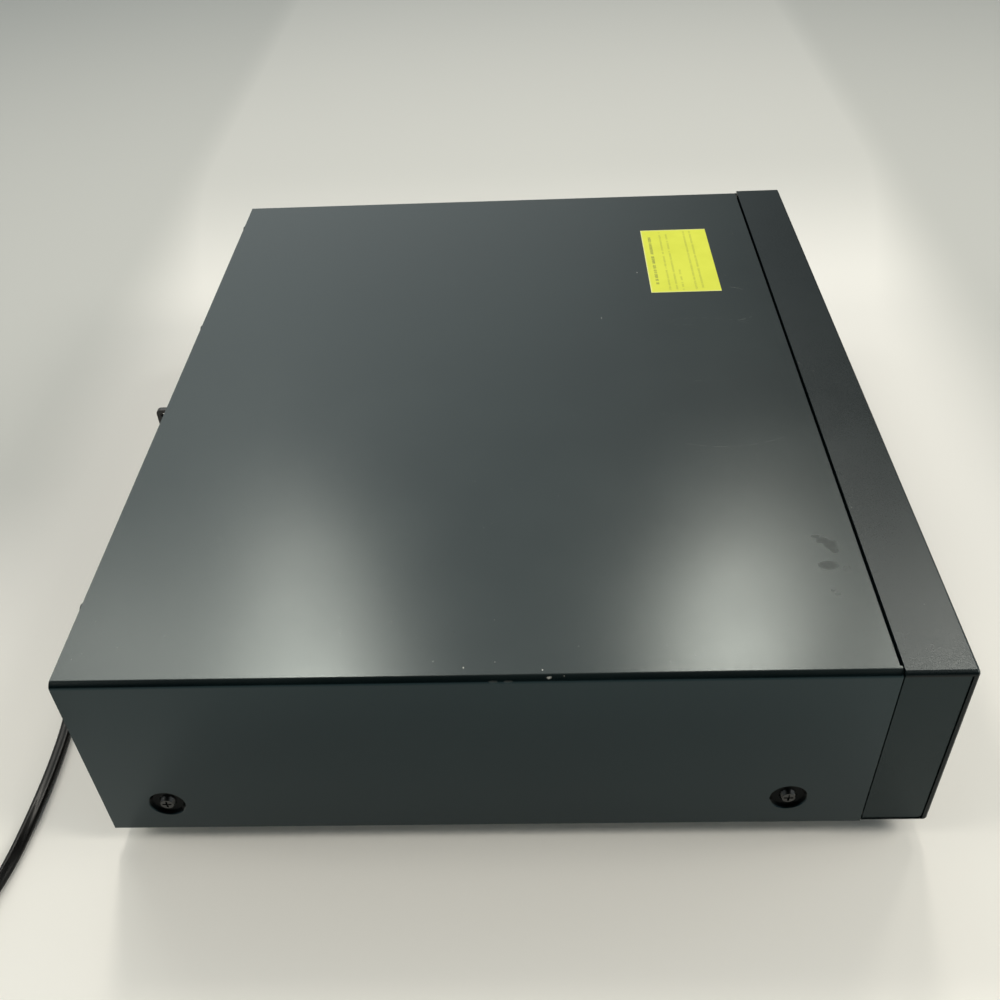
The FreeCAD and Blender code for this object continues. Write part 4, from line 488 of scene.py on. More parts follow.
def label_finish():
    """Yellow paper with plain ruled bars where print would be."""
    low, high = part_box("top_label")
    material, tree, shader = finish("label paper", (0.8, 0.84, 0.11), 0.5)
    parts = placed(tree, "ShaderNodeSeparateXYZ", {"Vector": where(tree)})
    down = sums(tree, "DIVIDE", sums(tree, "SUBTRACT", high.x, parts.outputs["X"]),
                high.x - low.x)
    across = sums(tree, "DIVIDE", sums(tree, "SUBTRACT", parts.outputs["Y"], low.y),
                  high.y - low.y)
    ink = 0.0
    for middle, half, first, last, strength in LABEL_BARS:
        off = sums(tree, "ABSOLUTE", sums(tree, "SUBTRACT", across, middle))
        bar = sums(tree, "LESS_THAN", off, half)
        inside = sums(tree, "MULTIPLY", sums(tree, "GREATER_THAN", down, first),
                      sums(tree, "LESS_THAN", down, last))
        spot = placed(tree, "ShaderNodeCombineXYZ", {"X": parts.outputs["X"], "Y": middle})
        dashes = ramp(tree, noise(tree, 420.0, 1.0, at=spot.outputs[0]), 0.38, 0.44)
        dashes = sums(tree, "MULTIPLY", dashes, ramp(tree, noise(tree, 1400.0, 1.0), 0.3, 0.6,
                                                     0.35, 1.0))
        mark = sums(tree, "MULTIPLY", sums(tree, "MULTIPLY", bar, inside), dashes)
        ink = sums(tree, "MAXIMUM", sums(tree, "MULTIPLY", mark, strength), ink)
    rim = sums(tree, "MINIMUM", sums(tree, "MINIMUM", down, sums(tree, "SUBTRACT", 1.0, down)),
               sums(tree, "MULTIPLY", sums(tree, "SUBTRACT", 1.0, across), 0.6))
    fibre = noise(tree, 900.0, 4.0)
    paper = blend(tree, ramp(tree, noise(tree, 60.0, 3.0), 0.3, 0.7), (0.55, 0.59, 0.030),
                  (0.59, 0.63, 0.040))
    edge = blend(tree, ramp(tree, rim, 0.012, 0.004, 0.0, 0.7), paper, (0.68, 0.68, 0.36))
    tree.links.new(blend(tree, ink, edge, (0.10, 0.12, 0.02)), shader.inputs["Base Color"])
    tree.links.new(raised(tree, fibre, 0.02 * MM), shader.inputs["Normal"])
    return material


# Ruled bars on the label: middle across, half width, start and end along it, strength.
LABEL_BARS = [
    (0.885, 0.022, 0.12, 0.88, 0.66), (0.72, 0.014, 0.03, 0.97, 0.34),
    (0.62, 0.014, 0.05, 0.97, 0.34), (0.53, 0.014, 0.66, 0.97, 0.32),
    (0.345, 0.015, 0.03, 0.97, 0.36), (0.25, 0.015, 0.03, 0.95, 0.36),
]


def window_finish():
    """Smoked clear plastic over the display."""
    material, tree, shader = finish("smoked window", (0.05, 0.055, 0.06), 0.08)
    shader.inputs["Transmission Weight"].default_value = 1.0
    shader.inputs["IOR"].default_value = 1.49
    wipe = ramp(tree, noise(tree, 40.0, 4.0), 0.4, 0.8, 0.05, 0.13)
    tree.links.new(wipe, shader.inputs["Roughness"])
    tint = blend(tree, ramp(tree, noise(tree, 25.0), 0.3, 0.7), (0.05, 0.055, 0.06),
                 (0.065, 0.07, 0.075))
    tree.links.new(tint, shader.inputs["Base Color"])
    return material


def board_finish():
    """Brown laminate with pale printed tracks along both directions."""
    material, tree, shader = finish("board laminate", (0.2, 0.13, 0.05), 0.5)
    parts = placed(tree, "ShaderNodeSeparateXYZ", {"Vector": where(tree)})
    tracks = 0.0
    for axis, pitch in (("X", 260.0), ("Z", 310.0), ("Y", 290.0)):
        wave = sums(tree, "SINE", sums(tree, "MULTIPLY", parts.outputs[axis], pitch * 6.28))
        tracks = sums(tree, "MAXIMUM", tracks, sums(tree, "GREATER_THAN", wave, 0.75))
    patches = sums(tree, "GREATER_THAN", noise(tree, 90.0, 2.0), 0.52)
    mask = sums(tree, "MULTIPLY", tracks, patches)
    base = blend(tree, noise(tree, 200.0, 3.0), (0.17, 0.11, 0.045), (0.26, 0.17, 0.07))
    tree.links.new(blend(tree, sums(tree, "MULTIPLY", mask, 0.6), base, (0.32, 0.27, 0.14)),
                   shader.inputs["Base Color"])
    return material


def cord_finish(name, light):
    """Black vinyl with a narrow sheen and fine grain."""
    return moulded(name, (0.003, 0.003, 0.003), light, 0.30, grain=1400.0, depth=0.010,
                   cloud=40.0, dust=0.04, Specular_IOR_Level=0.2)


def socket_finish():
    """Plated barrels in a black holder, parted by how far they stand out from the back panel."""
    material, tree, shader = finish("socket plating", (0.02, 0.02, 0.02), 0.4)
    parts = placed(tree, "ShaderNodeSeparateXYZ", {"Vector": where(tree)})
    outside = sums(tree, "GREATER_THAN", parts.outputs["Y"], PANEL_Y + 0.85 * MM)
    tint = blend(tree, ramp(tree, noise(tree, 500.0, 3.0), 0.3, 0.7), (0.72, 0.70, 0.64),
                 (0.60, 0.58, 0.52))
    tree.links.new(blend(tree, outside, (0.02, 0.02, 0.021), tint), shader.inputs["Base Color"])
    tree.links.new(outside, shader.inputs["Metallic"])
    tree.links.new(ramp(tree, noise(tree, 260.0, 3.0), 0.3, 0.7, 0.22, 0.36),
                   shader.inputs["Roughness"])
    return material


def front_finish():
    """The front's plastic, its reflection turned down on the narrow rims at its two ends as
    painted shade.
    """
    gloss, rim_gloss = 0.46, 0.13
    material = moulded("front plastic", (0.0015, 0.004, 0.0045), (0.003, 0.006, 0.007), 0.28,
                       grain=2300.0, depth=0.006, cloud=8.0, dust=0.03,
                       Specular_Tint=(0.88, 0.98, 1.0, 1.0))
    tree = material.node_tree
    parts = placed(tree, "ShaderNodeSeparateXYZ", {"Vector": where(tree)})
    # Painted shade: the side-facing rims reflect less so that they stay dark.
    level = ramp(tree, sums(tree, "ABSOLUTE", parts.outputs["X"]), BEZEL_HIGH.x - 0.7 * MM,
                 BEZEL_HIGH.x - 0.2 * MM, gloss, rim_gloss)
    tree.links.new(level, tree.nodes["Principled BSDF"].inputs["Specular IOR Level"])
    return material


PANEL_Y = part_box("rear_panel")[1].y
# Black plastic that mirrors a little blue-green.
CAP_TINT = (0.52, 0.90, 1.0, 1.0)

FINISHES = {
    "cover_paint": cover_finish(),
    "panel_paint": moulded("panel paint", (0.018, 0.021, 0.022), (0.026, 0.029, 0.03), 0.42,
                           grain=1700.0, depth=0.014),
    "bezel_plastic": front_finish(),
    "cap_plastic": moulded("cap plastic", (0.0015, 0.004, 0.0045), (0.003, 0.006, 0.007), 0.30,
                           grain=2300.0, depth=0.006, cloud=14.0, dust=0.05,
                           Specular_IOR_Level=0.24, Specular_Tint=CAP_TINT),
    "key_plastic": moulded("key plastic", (0.018, 0.020, 0.021), (0.024, 0.026, 0.027), 0.38,
                           grain=2600.0, depth=0.008, dust=0.03),
    "window_plastic": window_finish(),
    "zinc_steel": metal("zinc plated steel", (0.60, 0.60, 0.56), 0.36),
    "black_screw": moulded("blackened screw", (0.003, 0.004, 0.004), (0.006, 0.007, 0.007), 0.22,
                           grain=2600.0, depth=0.010, dust=0.08),
    "foot_plastic": moulded("foot plastic", (0.010, 0.010, 0.011), (0.016, 0.016, 0.017), 0.6,
                            grain=1300.0, depth=0.03),
    "tray_plastic": moulded("tray plastic", (0.016, 0.017, 0.018), (0.023, 0.024, 0.025), 0.5,
                            grain=1600.0, depth=0.02),
    "loader_plastic": moulded("loader plastic", (0.02, 0.02, 0.02), (0.03, 0.03, 0.03), 0.55,
                              grain=1200.0, depth=0.03),
    "gear_plastic": moulded("gear plastic", (0.72, 0.70, 0.62), (0.80, 0.78, 0.70), 0.42,
                            grain=1800.0, depth=0.008),
    "board_laminate": board_finish(),
    "tube_glass": finish("display glass", (0.30, 0.36, 0.36), 0.06, Transmission_Weight=0.6,
                         IOR=1.5)[0],
    "transformer_iron": moulded("laminated iron", (0.05, 0.048, 0.045), (0.09, 0.085, 0.08),
                                0.5, grain=500.0, depth=0.05),
    "motor_case": metal("motor can", (0.62, 0.62, 0.60), 0.3, scale=700.0, length=1.0),
    "rod_steel": metal("ground steel", (0.68, 0.68, 0.68), 0.16, scale=1500.0, length=1.0),
    "belt_rubber": moulded("belt rubber", (0.008, 0.008, 0.008), (0.014, 0.014, 0.014), 0.7,
                           grain=900.0, depth=0.03),
    "cord_vinyl": cord_finish("cord vinyl", (0.006, 0.006, 0.006)),
    "cable_vinyl": moulded("cable vinyl", (0.45, 0.45, 0.42), (0.55, 0.55, 0.52), 0.4,
                           grain=700.0, depth=0.02),
    "fuse_glass": finish("fuse glass", (0.75, 0.8, 0.8), 0.08, Transmission_Weight=0.7,
                         IOR=1.5)[0],
    "jack_plastic": moulded("jack plastic", (0.012, 0.012, 0.013), (0.02, 0.02, 0.021), 0.4,
                            grain=1500.0, depth=0.015),
    "label_paper": label_finish(),
}


def finish_nodes():
    """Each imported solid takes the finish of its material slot."""
    for row in frame["record"]["subparts"]:
        solid = nodes[row["node"]]
        solid.data.materials.clear()
        solid.data.materials.append(FINISHES[row["material_slot"]])


finish_nodes()

# The mains cord, from its sleeve to its plug
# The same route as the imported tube's, its height chosen for a cord that lies flat or on edge.
ROUTE = [
    (-0.0620, 0.1969, 0.0260),
    (-0.0620, 0.2132, 0.0260),
    (-0.0695, 0.2265, 0.0198),
    (-0.0830, 0.2325, 0.0112),
    (-0.1000, 0.2335, 0.0048),
    (-0.1215, 0.2298, 0.0020),
    (-0.1470, 0.2244, 0.0017),
    (-0.1750, 0.2229, 0.0018),
    (-0.2040, 0.2231, 0.0022),
    (-0.2320, 0.2246, 0.0027),
    (-0.2590, 0.2310, 0.0030),
    (-0.2840, 0.2470, 0.0031),
]
CORD_WIDTH = 0.006
CORD_THICK = 0.0032
COIL_PITCH = 0.0065
COIL_INNER = 0.022
LAYER_TURNS = 3.05
LAYER_RISE = 0.0065
LEAVE_TURNS = 0.36
LEAVE_GROWTH = 0.0095
TAIL_RISE = 0.003
TAIL_LENGTH = 0.020
COIL_POINTS = 14


def smooth(share):
    share = min(1.0, max(0.0, share))
    return share * share * (3 - 2 * share)


def coil_place(turn):
    """A point of the coil: in on the lower layer, out on the upper one, then down."""
    ahead = (Vector(ROUTE[-1]) - Vector(ROUTE[-2]))
    ahead.z = 0
    ahead.normalize()
    start = Vector(ROUTE[-1]) + ahead * CORD_WIDTH
    outer = COIL_INNER + COIL_PITCH * LAYER_TURNS
    centre = start + Vector((ahead.y, -ahead.x, 0)) * outer
    away = min(abs(turn - LAYER_TURNS), LAYER_TURNS)
    past = max(0.0, turn - 2 * LAYER_TURNS) / LEAVE_TURNS
    radius = COIL_INNER + COIL_PITCH * away + LEAVE_GROWTH * past
    rise = LAYER_RISE * smooth((turn - LAYER_TURNS) * 2 + 0.5)
    rise -= (LAYER_RISE - TAIL_RISE) * smooth(past * 1.5 - 0.5)
    angle = math.atan2(start.y - centre.y, start.x - centre.x) - 2 * math.pi * turn
    return centre + Vector((radius * math.cos(angle), radius * math.sin(angle), rise))


def cord_points():
    """The route's points, the coil's turns, and the straight end in the plug's neck."""
    turns = 2 * LAYER_TURNS + LEAVE_TURNS
    steps = round(turns * COIL_POINTS)
    points = [Vector(point) for point in ROUTE]
    points += [coil_place(turns * step / steps) for step in range(steps + 1)]
    end = points[-1]
    heading = coil_place(turns + 0.001) - coil_place(turns - 0.001)
    heading.z = 0
    heading.normalize()
    points += [end + heading * (TAIL_LENGTH / 2), end + heading * TAIL_LENGTH]
    return points, end + heading * TAIL_LENGTH, heading


def cord_line(points):
    """The smooth line through the cord's middle, as points close together."""
    curve = bpy.data.curves.new("cord line", "CURVE")
    curve.dimensions = "3D"
    curve.resolution_u = 6
    spline = curve.splines.new("NURBS")
    spline.points.add(len(points) - 1)
    for spot, point in zip(spline.points, points):
        spot.co = (*point, 1.0)
    spline.order_u = 3
    spline.use_endpoint_u = True
    holder = bpy.data.objects.new("cord line", curve)
    bpy.context.scene.collection.objects.link(holder)
    bpy.context.view_layer.update()
    mesh = bpy.data.meshes.new_from_object(holder)
    line = [point.co.copy() for point in mesh.vertices]
    bpy.data.objects.remove(holder)
    bpy.data.meshes.remove(mesh)
    return line


def cord_section():
    """Two round cores side by side with a groove between, counter-clockwise."""
    core, middle = CORD_THICK / 2, CORD_WIDTH / 2 - CORD_THICK / 2
    outline = []
    for side in (1, -1):
        for step in range(9):
            angle = math.radians(-118 + 236 * step / 8) + (0 if side > 0 else math.pi)
            outline.append((side * middle + core * math.cos(angle), core * math.sin(angle)))
    return outline


def build_cord():
    points, tail, heading = cord_points()
    line = cord_line(points)
    lengths = [0.0]
    for first, second in zip(line, line[1:]):
        lengths.append(lengths[-1] + (second - first).length)
    section = cord_section()
    turn_start, turn_end = ROUTE[7][0], ROUTE[11][0]
    vertices, faces = [], []
    ring_count = len(section)
    upright = 0.0
    for place, point in enumerate(line):
        before, after = line[max(0, place - 1)], line[min(len(line) - 1, place + 1)]
        ahead = (after - before).normalized()
        side = ahead.cross(Vector((0, 0, 1))).normalized()
        over = side.cross(ahead)
        share = smooth((turn_start - point.x) / (turn_start - turn_end))
        upright = max(upright, share)
        left = lengths[-1] - lengths[place]
        twist = math.radians(90) * upright * smooth(left / 0.05)
        wide = side * math.cos(twist) + over * math.sin(twist)
        tall = over * math.cos(twist) - side * math.sin(twist)
        for across, up in section:
            vertices.append(point + wide * across + tall * up)
    for place in range(len(line) - 1):
        for corner in range(ring_count):
            following = (corner + 1) % ring_count
            low, high = place * ring_count, (place + 1) * ring_count
            faces.append((low + corner, low + following, high + following, high + corner))
    faces.append(tuple(range(ring_count))[::-1])
    faces.append(tuple(range(len(vertices) - ring_count, len(vertices))))
    mesh = bpy.data.meshes.new("mains_cord")
    mesh.from_pydata([tuple(vertex) for vertex in vertices], [], faces)
    piece = bpy.data.objects.new("mains_cord", mesh)
    bpy.context.scene.collection.objects.link(piece)
    mended(piece)
    smoothed(piece, 60)
    return piece, line, tail, heading


def build_plug(tail, heading):
    """A moulded grip with finger ribs and a tapered neck, and two flat blades."""
    bpy.ops.mesh.primitive_cube_add(size=1, location=(0.024, 0, 0))
    grip = current("plug_grip")
    grip.scale = (0.020, 0.022, 0.012)
    settled(grip)
    chosen(grip, "FACE", lambda centre, normal: normal.x < -0.9)
    bpy.ops.mesh.extrude_region_move(TRANSFORM_OT_translate={"value": (-0.008, 0, 0)})
    bpy.ops.transform.resize(value=(1, 0.62, 0.86), center_override=(0.006, 0, 0))
    bpy.ops.mesh.extrude_region_move(TRANSFORM_OT_translate={"value": (-0.0055, 0, 0)})
    bpy.ops.transform.resize(value=(1, 0.62, 0.78), center_override=(0.0005, 0, 0))
    let_go()
    chosen(grip, "FACE", lambda centre, normal: normal.x > 0.9)
    bpy.ops.mesh.inset(thickness=0.0016)
    bpy.ops.mesh.extrude_region_move(TRANSFORM_OT_translate={"value": (-0.0005, 0, 0)})
    let_go()
    edged(grip, 0.0018, 3)
    ribs = []
    for side in (-1, 1):
        for place in range(4):
            bpy.ops.mesh.primitive_cylinder_add(
                vertices=12, radius=0.0007, depth=0.0085,
                location=(0.0185 + place * 0.0032, side * 0.0107, 0))
            rib = current("rib")
            ribs.append(settled(rib))
    grip = together("plug_grip", [grip] + ribs)
    blades = []
    for side in (-1, 1):
        bpy.ops.mesh.primitive_cube_add(size=1, location=(0.04175, side * 0.00635, 0))
        blade = current("blade")
        blade.scale = (0.0173, 0.0015, 0.0063)
        settled(blade)
        chosen(blade, "FACE", lambda centre, normal: normal.x > 0.9)
        bpy.ops.transform.resize(value=(1, 0.55, 0.72), center_override=(0.05, side * 0.00635, 0))
        let_go()
        edged(blade, 0.00025)
        bpy.ops.mesh.primitive_cylinder_add(vertices=20, radius=0.0013, depth=0.0017,
                                            location=(0.0466, side * 0.00635, 0),
                                            rotation=(math.radians(90), 0, 0))
        hole = settled(current("hole"))
        applied(blade, "BOOLEAN", object=hole, operation="DIFFERENCE")
        bpy.data.objects.remove(hole)
        blades.append(blade)
    blades = together("plug_blades", blades)
    turn = math.atan2(heading.y, heading.x)
    for piece in (grip, blades):
        piece.matrix_world = Matrix.Translation(tail) @ Matrix.Rotation(turn, 4, "Z")
        settled(piece)
        smoothed(piece, 40)
    return grip, blades


def build_sleeve():
    """The tapered sleeve that grips the cord in the panel, cut across by stress slots."""
    low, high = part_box("cord_bushing")
    centre = Vector(((low.x + high.x) / 2, 0, (low.z + high.z) / 2))
    wall = PANEL_Y
    section = [(0.0078, -0.004), (0.0078, -0.001), (0.0064, -0.001), (0.0064, 0.0),
               (0.0078, 0.0), (0.0078, 0.0022), (0.0070, 0.0028), (0.0054, 0.0035)]
    ribs = 6
    for rib in range(ribs):
        at = 0.0045 + rib * 0.0024
        radius = 0.0053 - rib * 0.00022
        section += [(radius, at), (radius, at + 0.0013), (radius - 0.0011, at + 0.0015),
                    (radius - 0.0011, at + 0.0022)]
    section += [(0.0039, 0.0190), (0.0036, 0.0200), (0.0030, 0.0200)]
    mesh = bpy.data.meshes.new("cord_sleeve")
    points = [(radius, wall + along, 0) for radius, along in [(0.0, -0.004)] + section
              + [(0.0, 0.0199)]]
    mesh.from_pydata(points, [(place, place + 1) for place in range(len(points) - 1)], [])
    piece = bpy.data.objects.new("cord_sleeve", mesh)
    bpy.context.scene.collection.objects.link(piece)
    editing(piece, "VERT")
    bpy.ops.mesh.spin(steps=40, angle=2 * math.pi, center=(0, 0, 0), axis=(0, 1, 0))
    let_go()
    mended(piece)
    piece.location = centre
    settled(piece)
    smoothed(piece, 40)
    return piece


def make_cord():
    cord, line, tail, heading = build_cord()
    vinyl = FINISHES["cord_vinyl"]
    grip, blades = build_plug(tail, heading)
    sleeve = build_sleeve()
    dressed(cord, "chassis", "cord_vinyl", vinyl, "cord_run", "cord_coil")
    dressed(grip, "chassis", "cord_vinyl", vinyl, "power_plug")
    dressed(blades, "chassis", "motor_case",
            metal("plug brass", (0.66, 0.60, 0.42), 0.26, scale=800.0), "power_plug")
    dressed(sleeve, "chassis", "cord_vinyl", vinyl, "cord_bushing")


make_cord()


# The shell
def make_shell():
    """The folded cover, the front and its caps, with the thin bright edges of real ones."""
    shell = [
        ("top_cover", "folded_cover", 0.22, "chassis", "cover_paint"),
        ("front_bezel", "front_panel", 0.28, "chassis", "bezel_plastic"),
        ("left_end_cap", "left_side_cap", 0.25, "chassis", "cap_plastic"),
        ("right_end_cap", "right_side_cap", 0.25, "chassis", "cap_plastic"),
        ("tray_door", "drawer_door", 0.3, "tray", "bezel_plastic"),
        ("rear_panel", "back_panel", 0.15, "chassis", "panel_paint"),
        ("rear_spacer", "back_spacer", 0.4, "chassis", "jack_plastic"),
        ("feet", "moulded_feet", 0.4, "chassis", "foot_plastic"),
        ("side_screws", "cover_screws", 0.18, "chassis", "black_screw"),
        ("rear_screws", "lip_screws", 0.18, "chassis", "black_screw"),
        ("top_label", "paper_label", 0.04, "chassis", "label_paper"),
        ("optical_jack", "optical_socket", 0.2, "chassis", "jack_plastic"),
        ("display_window", "smoked_window", 0.2, "chassis", "window_plastic"),
        ("tray", "drawer_tray", 0.2, "tray", "tray_plastic"),
        ("carousel", "disc_carousel", 0.25, "carousel", "tray_plastic"),
        ("clamp_puck", "disc_clamp", 0.2, "clamp_puck", "loader_plastic"),
        ("turntable", "spindle_table", 0.12, "turntable", "tray_plastic"),
    ]
    for node in nodes:
        if node.endswith("_button") or node.startswith("disc_button"):
            shell.append((node, node + "_cap", 0.12, node, "key_plastic"))
    for node, name, width, body, slot in shell:
        piece = eased_copy(node, name, width * MM)
        dressed(piece, body, slot, FINISHES[slot], node)


make_shell()


# Signs on the keys, the display and the small fittings
def flat(name, shapes, depth=0.03):
    """Thin printed shapes that face the front, their corners in millimetres across and up."""
    vertices, faces = [], []
    for corners in shapes:
        faces.append(tuple(range(len(vertices), len(vertices) + len(corners))))
        vertices += [(across * MM, 0, up * MM) for across, up in corners]
    mesh = bpy.data.meshes.new(name)
    mesh.from_pydata(vertices, [], faces)
    piece = bpy.data.objects.new(name, mesh)
    bpy.context.scene.collection.objects.link(piece)
    editing(piece)
    bpy.ops.mesh.normals_make_consistent(inside=False)
    bpy.ops.mesh.extrude_region_move(TRANSFORM_OT_translate={"value": (0, -depth * MM, 0)})
    let_go()
    mended(piece)
    return piece


def bar(left, right, low, high):
    return [(left, low), (right, low), (right, high), (left, high)]


def point(tip, back, half):
    """A triangle that points along the row, from its tip to its back."""
    return [(tip, 0), (back, half), (back, -half)]


def arc(radius, width, first, last, steps=20):
    """Part of a ring, from one angle to another in degrees."""
    turns = [math.radians(first + (last - first) * step / steps) for step in range(steps + 1)]
    shapes = []
    for one, two in zip(turns, turns[1:]):
        shapes.append([(far * math.cos(turn), far * math.sin(turn)) for far, turn in (
            (radius, one), (radius, two), (radius - width, two), (radius - width, one))])
    return shapes


SIGNS = {
    "play_button": [point(2.4, -2.0, 2.4)],
    "pause_button": [bar(-2.1, -0.7, -2.3, 2.3), bar(0.7, 2.1, -2.3, 2.3)],
    "stop_button": [bar(-2.1, 2.1, -2.1, 2.1)],
    "back_button": [bar(-4.2, -3.5, -1.7, 1.7), point(-3.4, -0.6, 1.7), point(-0.6, 2.2, 1.7)],
    "forward_button": [bar(3.5, 4.2, -1.7, 1.7), point(3.4, 0.6, 1.7), point(0.6, -2.2, 1.7)],
    "open_button": [[(-2.6, -0.4), (2.6, -0.4), (0, 2.4)], bar(-2.6, 2.6, -2.2, -1.2)],
    "skip_button": arc(2.6, 0.5, 0, 360) + arc(0.8, 0.5, 0, 360) + [point(6.2, 4.0, 1.4)],
    "power_button": arc(2.6, 0.6, 125, 415) + [bar(-0.3, 0.3, 0.2, 3.2)],
}


def make_signs():
    """Plain signs and numbers printed on the keys, moving with them."""
    ink = moulded("key print", (0.55, 0.56, 0.55), (0.62, 0.63, 0.62), 0.5, dust=0.02)
    for place in range(5):
        bpy.ops.object.text_add(rotation=(math.radians(90), 0, 0))
        number = current(f"disc_sign_{place + 1}")
        number.data.body = str(place + 1)
        number.data.size = 5.2 * MM
        number.data.extrude = 0.03 * MM
        number.data.align_x, number.data.align_y = "CENTER", "CENTER"
        bpy.ops.object.convert(target="MESH")
        place_sign(settled(number), f"disc_button_{place + 1}", ink)
    for key, shapes in SIGNS.items():
        place_sign(flat(key.replace("button", "sign"), shapes), key, ink)


def place_sign(sign, key, ink):
    low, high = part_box(key)
    sign.location = ((low.x + high.x) / 2, low.y + 0.01 * MM, (low.z + high.z) / 2)
    settled(sign)
    dressed(sign, key, "key_plastic", ink)


def seven(left, low, height=10.0, width=5.6, thick=0.9):
    """The seven bars of one number of the display."""
    right, middle, high = left + width, low + height / 2, low + height
    gap = thick * 0.7
    return [bar(left + gap, right - gap, level - thick / 2, level + thick / 2)
            for level in (low, middle, high)] + [
        bar(side - thick / 2, side + thick / 2, start + gap, end - gap)
        for side in (left, right) for start, end in ((low, middle), (middle, high))]


def make_display():
    """Unlit bars on the tube: four numbers, a row of twenty boxes and five disc marks."""
    shapes = []
    for left in (-14.0, -4.5, 8.0, 17.5):
        shapes += seven(left, -3.0)
    shapes += [bar(4.0, 5.0, -0.5, 0.5), bar(4.0, 5.0, 3.5, 4.5)]
    for place in range(20):
        shapes.append(bar(-50 + place * 5.1, -46.4 + place * 5.1, -8.4, -6.0))
    for place in range(5):
        shapes += [[(across - 40 + place * 4.6, up + 2) for across, up in ring]
                   for ring in arc(1.8, 0.5, 0, 360, 12)]
    piece = flat("display_bars", shapes)
    low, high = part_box("display_tube")
    piece.location = ((low.x + high.x) / 2, low.y - 0.01 * MM, (low.z + high.z) / 2)
    settled(piece)
    dressed(piece, "chassis", "tube_glass",
            moulded("display bars", (0.42, 0.46, 0.42), (0.50, 0.54, 0.50), 0.5, dust=0.0))


def make_socket_rings():
    """A red and a white ring round the two output sockets."""
    low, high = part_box("output_jacks")
    middle = (low.x + high.x) / 2
    paints = {"red": (0.50, 0.012, 0.012), "white": (0.75, 0.75, 0.72)}
    for (name, paint), side in zip(paints.items(), (-1, 1)):
        bpy.ops.mesh.primitive_torus_add(
            major_segments=40, minor_segments=10, major_radius=5.3 * MM, minor_radius=0.75 * MM,
            location=(middle + side * 7 * MM, PANEL_Y + 0.55 * MM, 33 * MM),
            rotation=(math.radians(90), 0, 0))
        ring = settled(current(f"{name}_socket_ring"))
        smoothed(ring, 60)
        dull = tuple(part * 0.85 for part in paint)
        dressed(ring, "chassis", "jack_plastic",
                moulded(f"{name} ring", dull, paint, 0.35, dust=0.03))


def make_lens():
    """The pickup's lens, a shallow clear dome on its sled."""
    low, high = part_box("pickup_sled")
    bpy.ops.mesh.primitive_uv_sphere_add(segments=28, ring_count=14, radius=3.0 * MM,
                                         location=(0, (low.y + high.y) / 2, high.z - 0.4 * MM))
    lens = current("pickup_lens")
    lens.scale = (1, 1, 0.4)
    settled(lens)
    smoothed(lens, 60)
    dressed(lens, "pickup_sled", "tube_glass",
            finish("lens glass", (0.42, 0.45, 0.62), 0.03, IOR=1.6, Specular_IOR_Level=0.9)[0])


make_signs()
make_display()
make_socket_rings()
make_lens()
nodes["output_jacks"].data.materials.clear()
nodes["output_jacks"].data.materials.append(socket_finish())


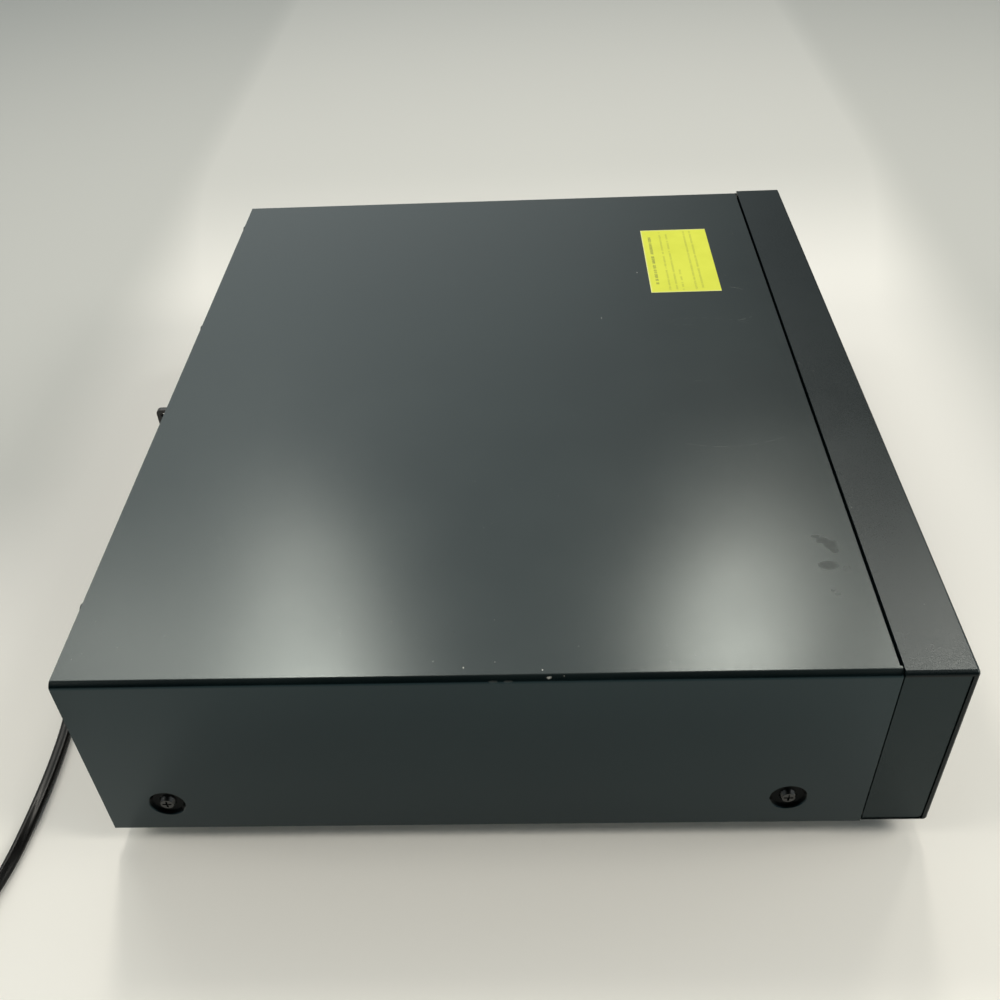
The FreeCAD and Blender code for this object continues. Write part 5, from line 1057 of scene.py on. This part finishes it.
# Floor, lamps and surroundings
def make_studio():
    bpy.ops.mesh.primitive_plane_add(size=8)
    floor = current("floor")
    material, tree, shader = finish("floor paper", (0.80, 0.795, 0.77), 0.7)
    parts = placed(tree, "ShaderNodeSeparateXYZ", {"Vector": where(tree)})
    # Painted shade and painted light on the floor paper: darker beside the unit and far beyond it,
    # lighter near the camera; the slow noise is the sheet's own unevenness.
    off = sums(tree, "ABSOLUTE", sums(tree, "ADD", parts.outputs["Y"], 0.02))
    painted_side_shade = sums(tree, "MULTIPLY", ramp(tree, off, 0.25, 0.36),
                 ramp(tree, parts.outputs["X"], -0.12, 0.06))
    far = sums(tree, "MULTIPLY", ramp(tree, parts.outputs["X"], 0.2, 0.55), 0.75)
    slow = ramp(tree, noise(tree, 1.6, 2.0), 0.3, 0.7)
    sheet = blend(tree, slow, (0.74, 0.735, 0.71), (0.77, 0.765, 0.74))
    # Painted light: the floor lighter towards the camera.
    near = blend(tree, ramp(tree, parts.outputs["X"], -0.2, 0.0), (0.88, 0.87, 0.83), sheet)
    tree.links.new(blend(tree, sums(tree, "MAXIMUM", painted_side_shade, far), near, (0.46, 0.47, 0.455)),
                   shader.inputs["Base Color"])
    floor.data.materials.append(material)
    # Each round lamp: place, where it points, width, power. The small ones stand where the
    # lid mirrors them towards the camera.
    lamps = [
        ("left far lamp", (0.836, 0.401, 1.11), (-0.165, 0.083, 0.11), 0.17, 0.70),
        ("left middle lamp", (0.7, 0.391, 1.19), (-0.215, 0.075, 0.11), 0.17, 0.85),
        ("left near lamp", (0.563, 0.369, 1.268), (-0.26, 0.065, 0.11), 0.17, 3.1),
        ("left side lamp", (0.641, 0.69, 1.144), (-0.22, 0.15, 0.11), 0.35, 1.15),
        ("right far lamp", (0.843, -0.376, 1.118), (-0.165, -0.108, 0.11), 0.17, 0.47),
        ("right near lamp", (0.7226, -0.338, 1.189), (-0.21, -0.092, 0.11), 0.20, 2.45),
        ("right side lamp", (0.673, -0.71, 1.157), (-0.215, -0.185, 0.11), 0.2, 1.9),
        ("left fill lamp", (-0.36, 1.5, 1.3), (-0.3, 0.0, 0.0), 0.8, 9.0),
        ("right fill lamp", (-0.36, -1.5, 1.3), (-0.3, 0.0, 0.0), 0.8, 15.5),
        ("front lamp", (0.2, -2.2, 1.4), (0.0, -0.1, 0.06), 1.2, 6.0),
        ("back lamp", (0.1, 2.3, 1.6), (0.0, 0.1, 0.06), 1.2, 2.5),
    ]
    for name, spot, aim, size, power in lamps:
        light = bpy.data.lights.new(name, "AREA")
        light.shape = "DISK"
        light.size = size
        light.energy = power
        light.color = (1.0, 0.94, 0.84)
        stand = bpy.data.objects.new(name, light)
        bpy.context.scene.collection.objects.link(stand)
        stand.location = spot
        way = Vector(aim) - Vector(spot)
        stand.rotation_euler = way.to_track_quat("-Z", "Y").to_euler()
    world = bpy.data.worlds.new("studio")
    bpy.context.scene.world = world
    world.use_nodes = True
    tree = world.node_tree
    sky = tree.nodes["Background"]
    direction = placed(tree, "ShaderNodeTexCoord").outputs["Generated"]
    def facing(way, low, high):
        """How far a direction lies towards this one."""
        share = placed(tree, "ShaderNodeVectorMath", {0: direction, 1: way},
                       operation="DOT_PRODUCT").outputs["Value"]
        return ramp(tree, share, low, high)

    parts = placed(tree, "ShaderNodeSeparateXYZ", {"Vector": direction})
    fade = sums(tree, "ADD", sums(tree, "MULTIPLY", parts.outputs["Y"], 2.6), 1.15)
    beyond = sums(tree, "MULTIPLY", facing((0.7, 0, 0.714), 0.75, 0.98), 0.54)
    beyond = sums(tree, "MULTIPLY", beyond, sums(tree, "MINIMUM", fade, 1.0))
    slant = sums(tree, "ADD", sums(tree, "MULTIPLY", parts.outputs["Y"], 2.0), 0.46)
    slant = sums(tree, "MINIMUM", sums(tree, "MAXIMUM", slant, 0.0), 1.0)
    lower = sums(tree, "MULTIPLY", facing((0.853, 0, 0.522), 0.7, 0.97), 0.66)
    left = sums(tree, "MULTIPLY", facing((0, 0.87, 0.5), 0.5, 0.95), 0.55)
    right = sums(tree, "MULTIPLY", facing((0, -0.87, 0.5), 0.5, 0.95), 0.9)
    light = sums(tree, "ADD", beyond, sums(tree, "MULTIPLY", lower, slant))
    light = sums(tree, "ADD", light, sums(tree, "ADD", left, right))
    flank = sums(tree, "ABSOLUTE", parts.outputs["Y"])
    # No light from above and behind the camera: the bend along the near side stays dark.
    open_side = sums(tree, "MAXIMUM", ramp(tree, parts.outputs["X"], 0.3, 0.5),
                     ramp(tree, flank, 0.35, 0.6))
    around = sums(tree, "ADD", sums(tree, "MULTIPLY", light, open_side), 0.012)
    seen = placed(tree, "ShaderNodeLightPath").outputs["Is Camera Ray"]
    hidden = sums(tree, "MULTIPLY", sums(tree, "SUBTRACT", 1.0, seen), around)
    tree.links.new(sums(tree, "ADD", sums(tree, "MULTIPLY", seen, 0.70), hidden),
                   sky.inputs["Strength"])
    sky.inputs["Color"].default_value = (0.92, 1.0, 1.0, 1.0)


make_studio()
bpy.context.scene.view_settings.view_transform = "Standard"
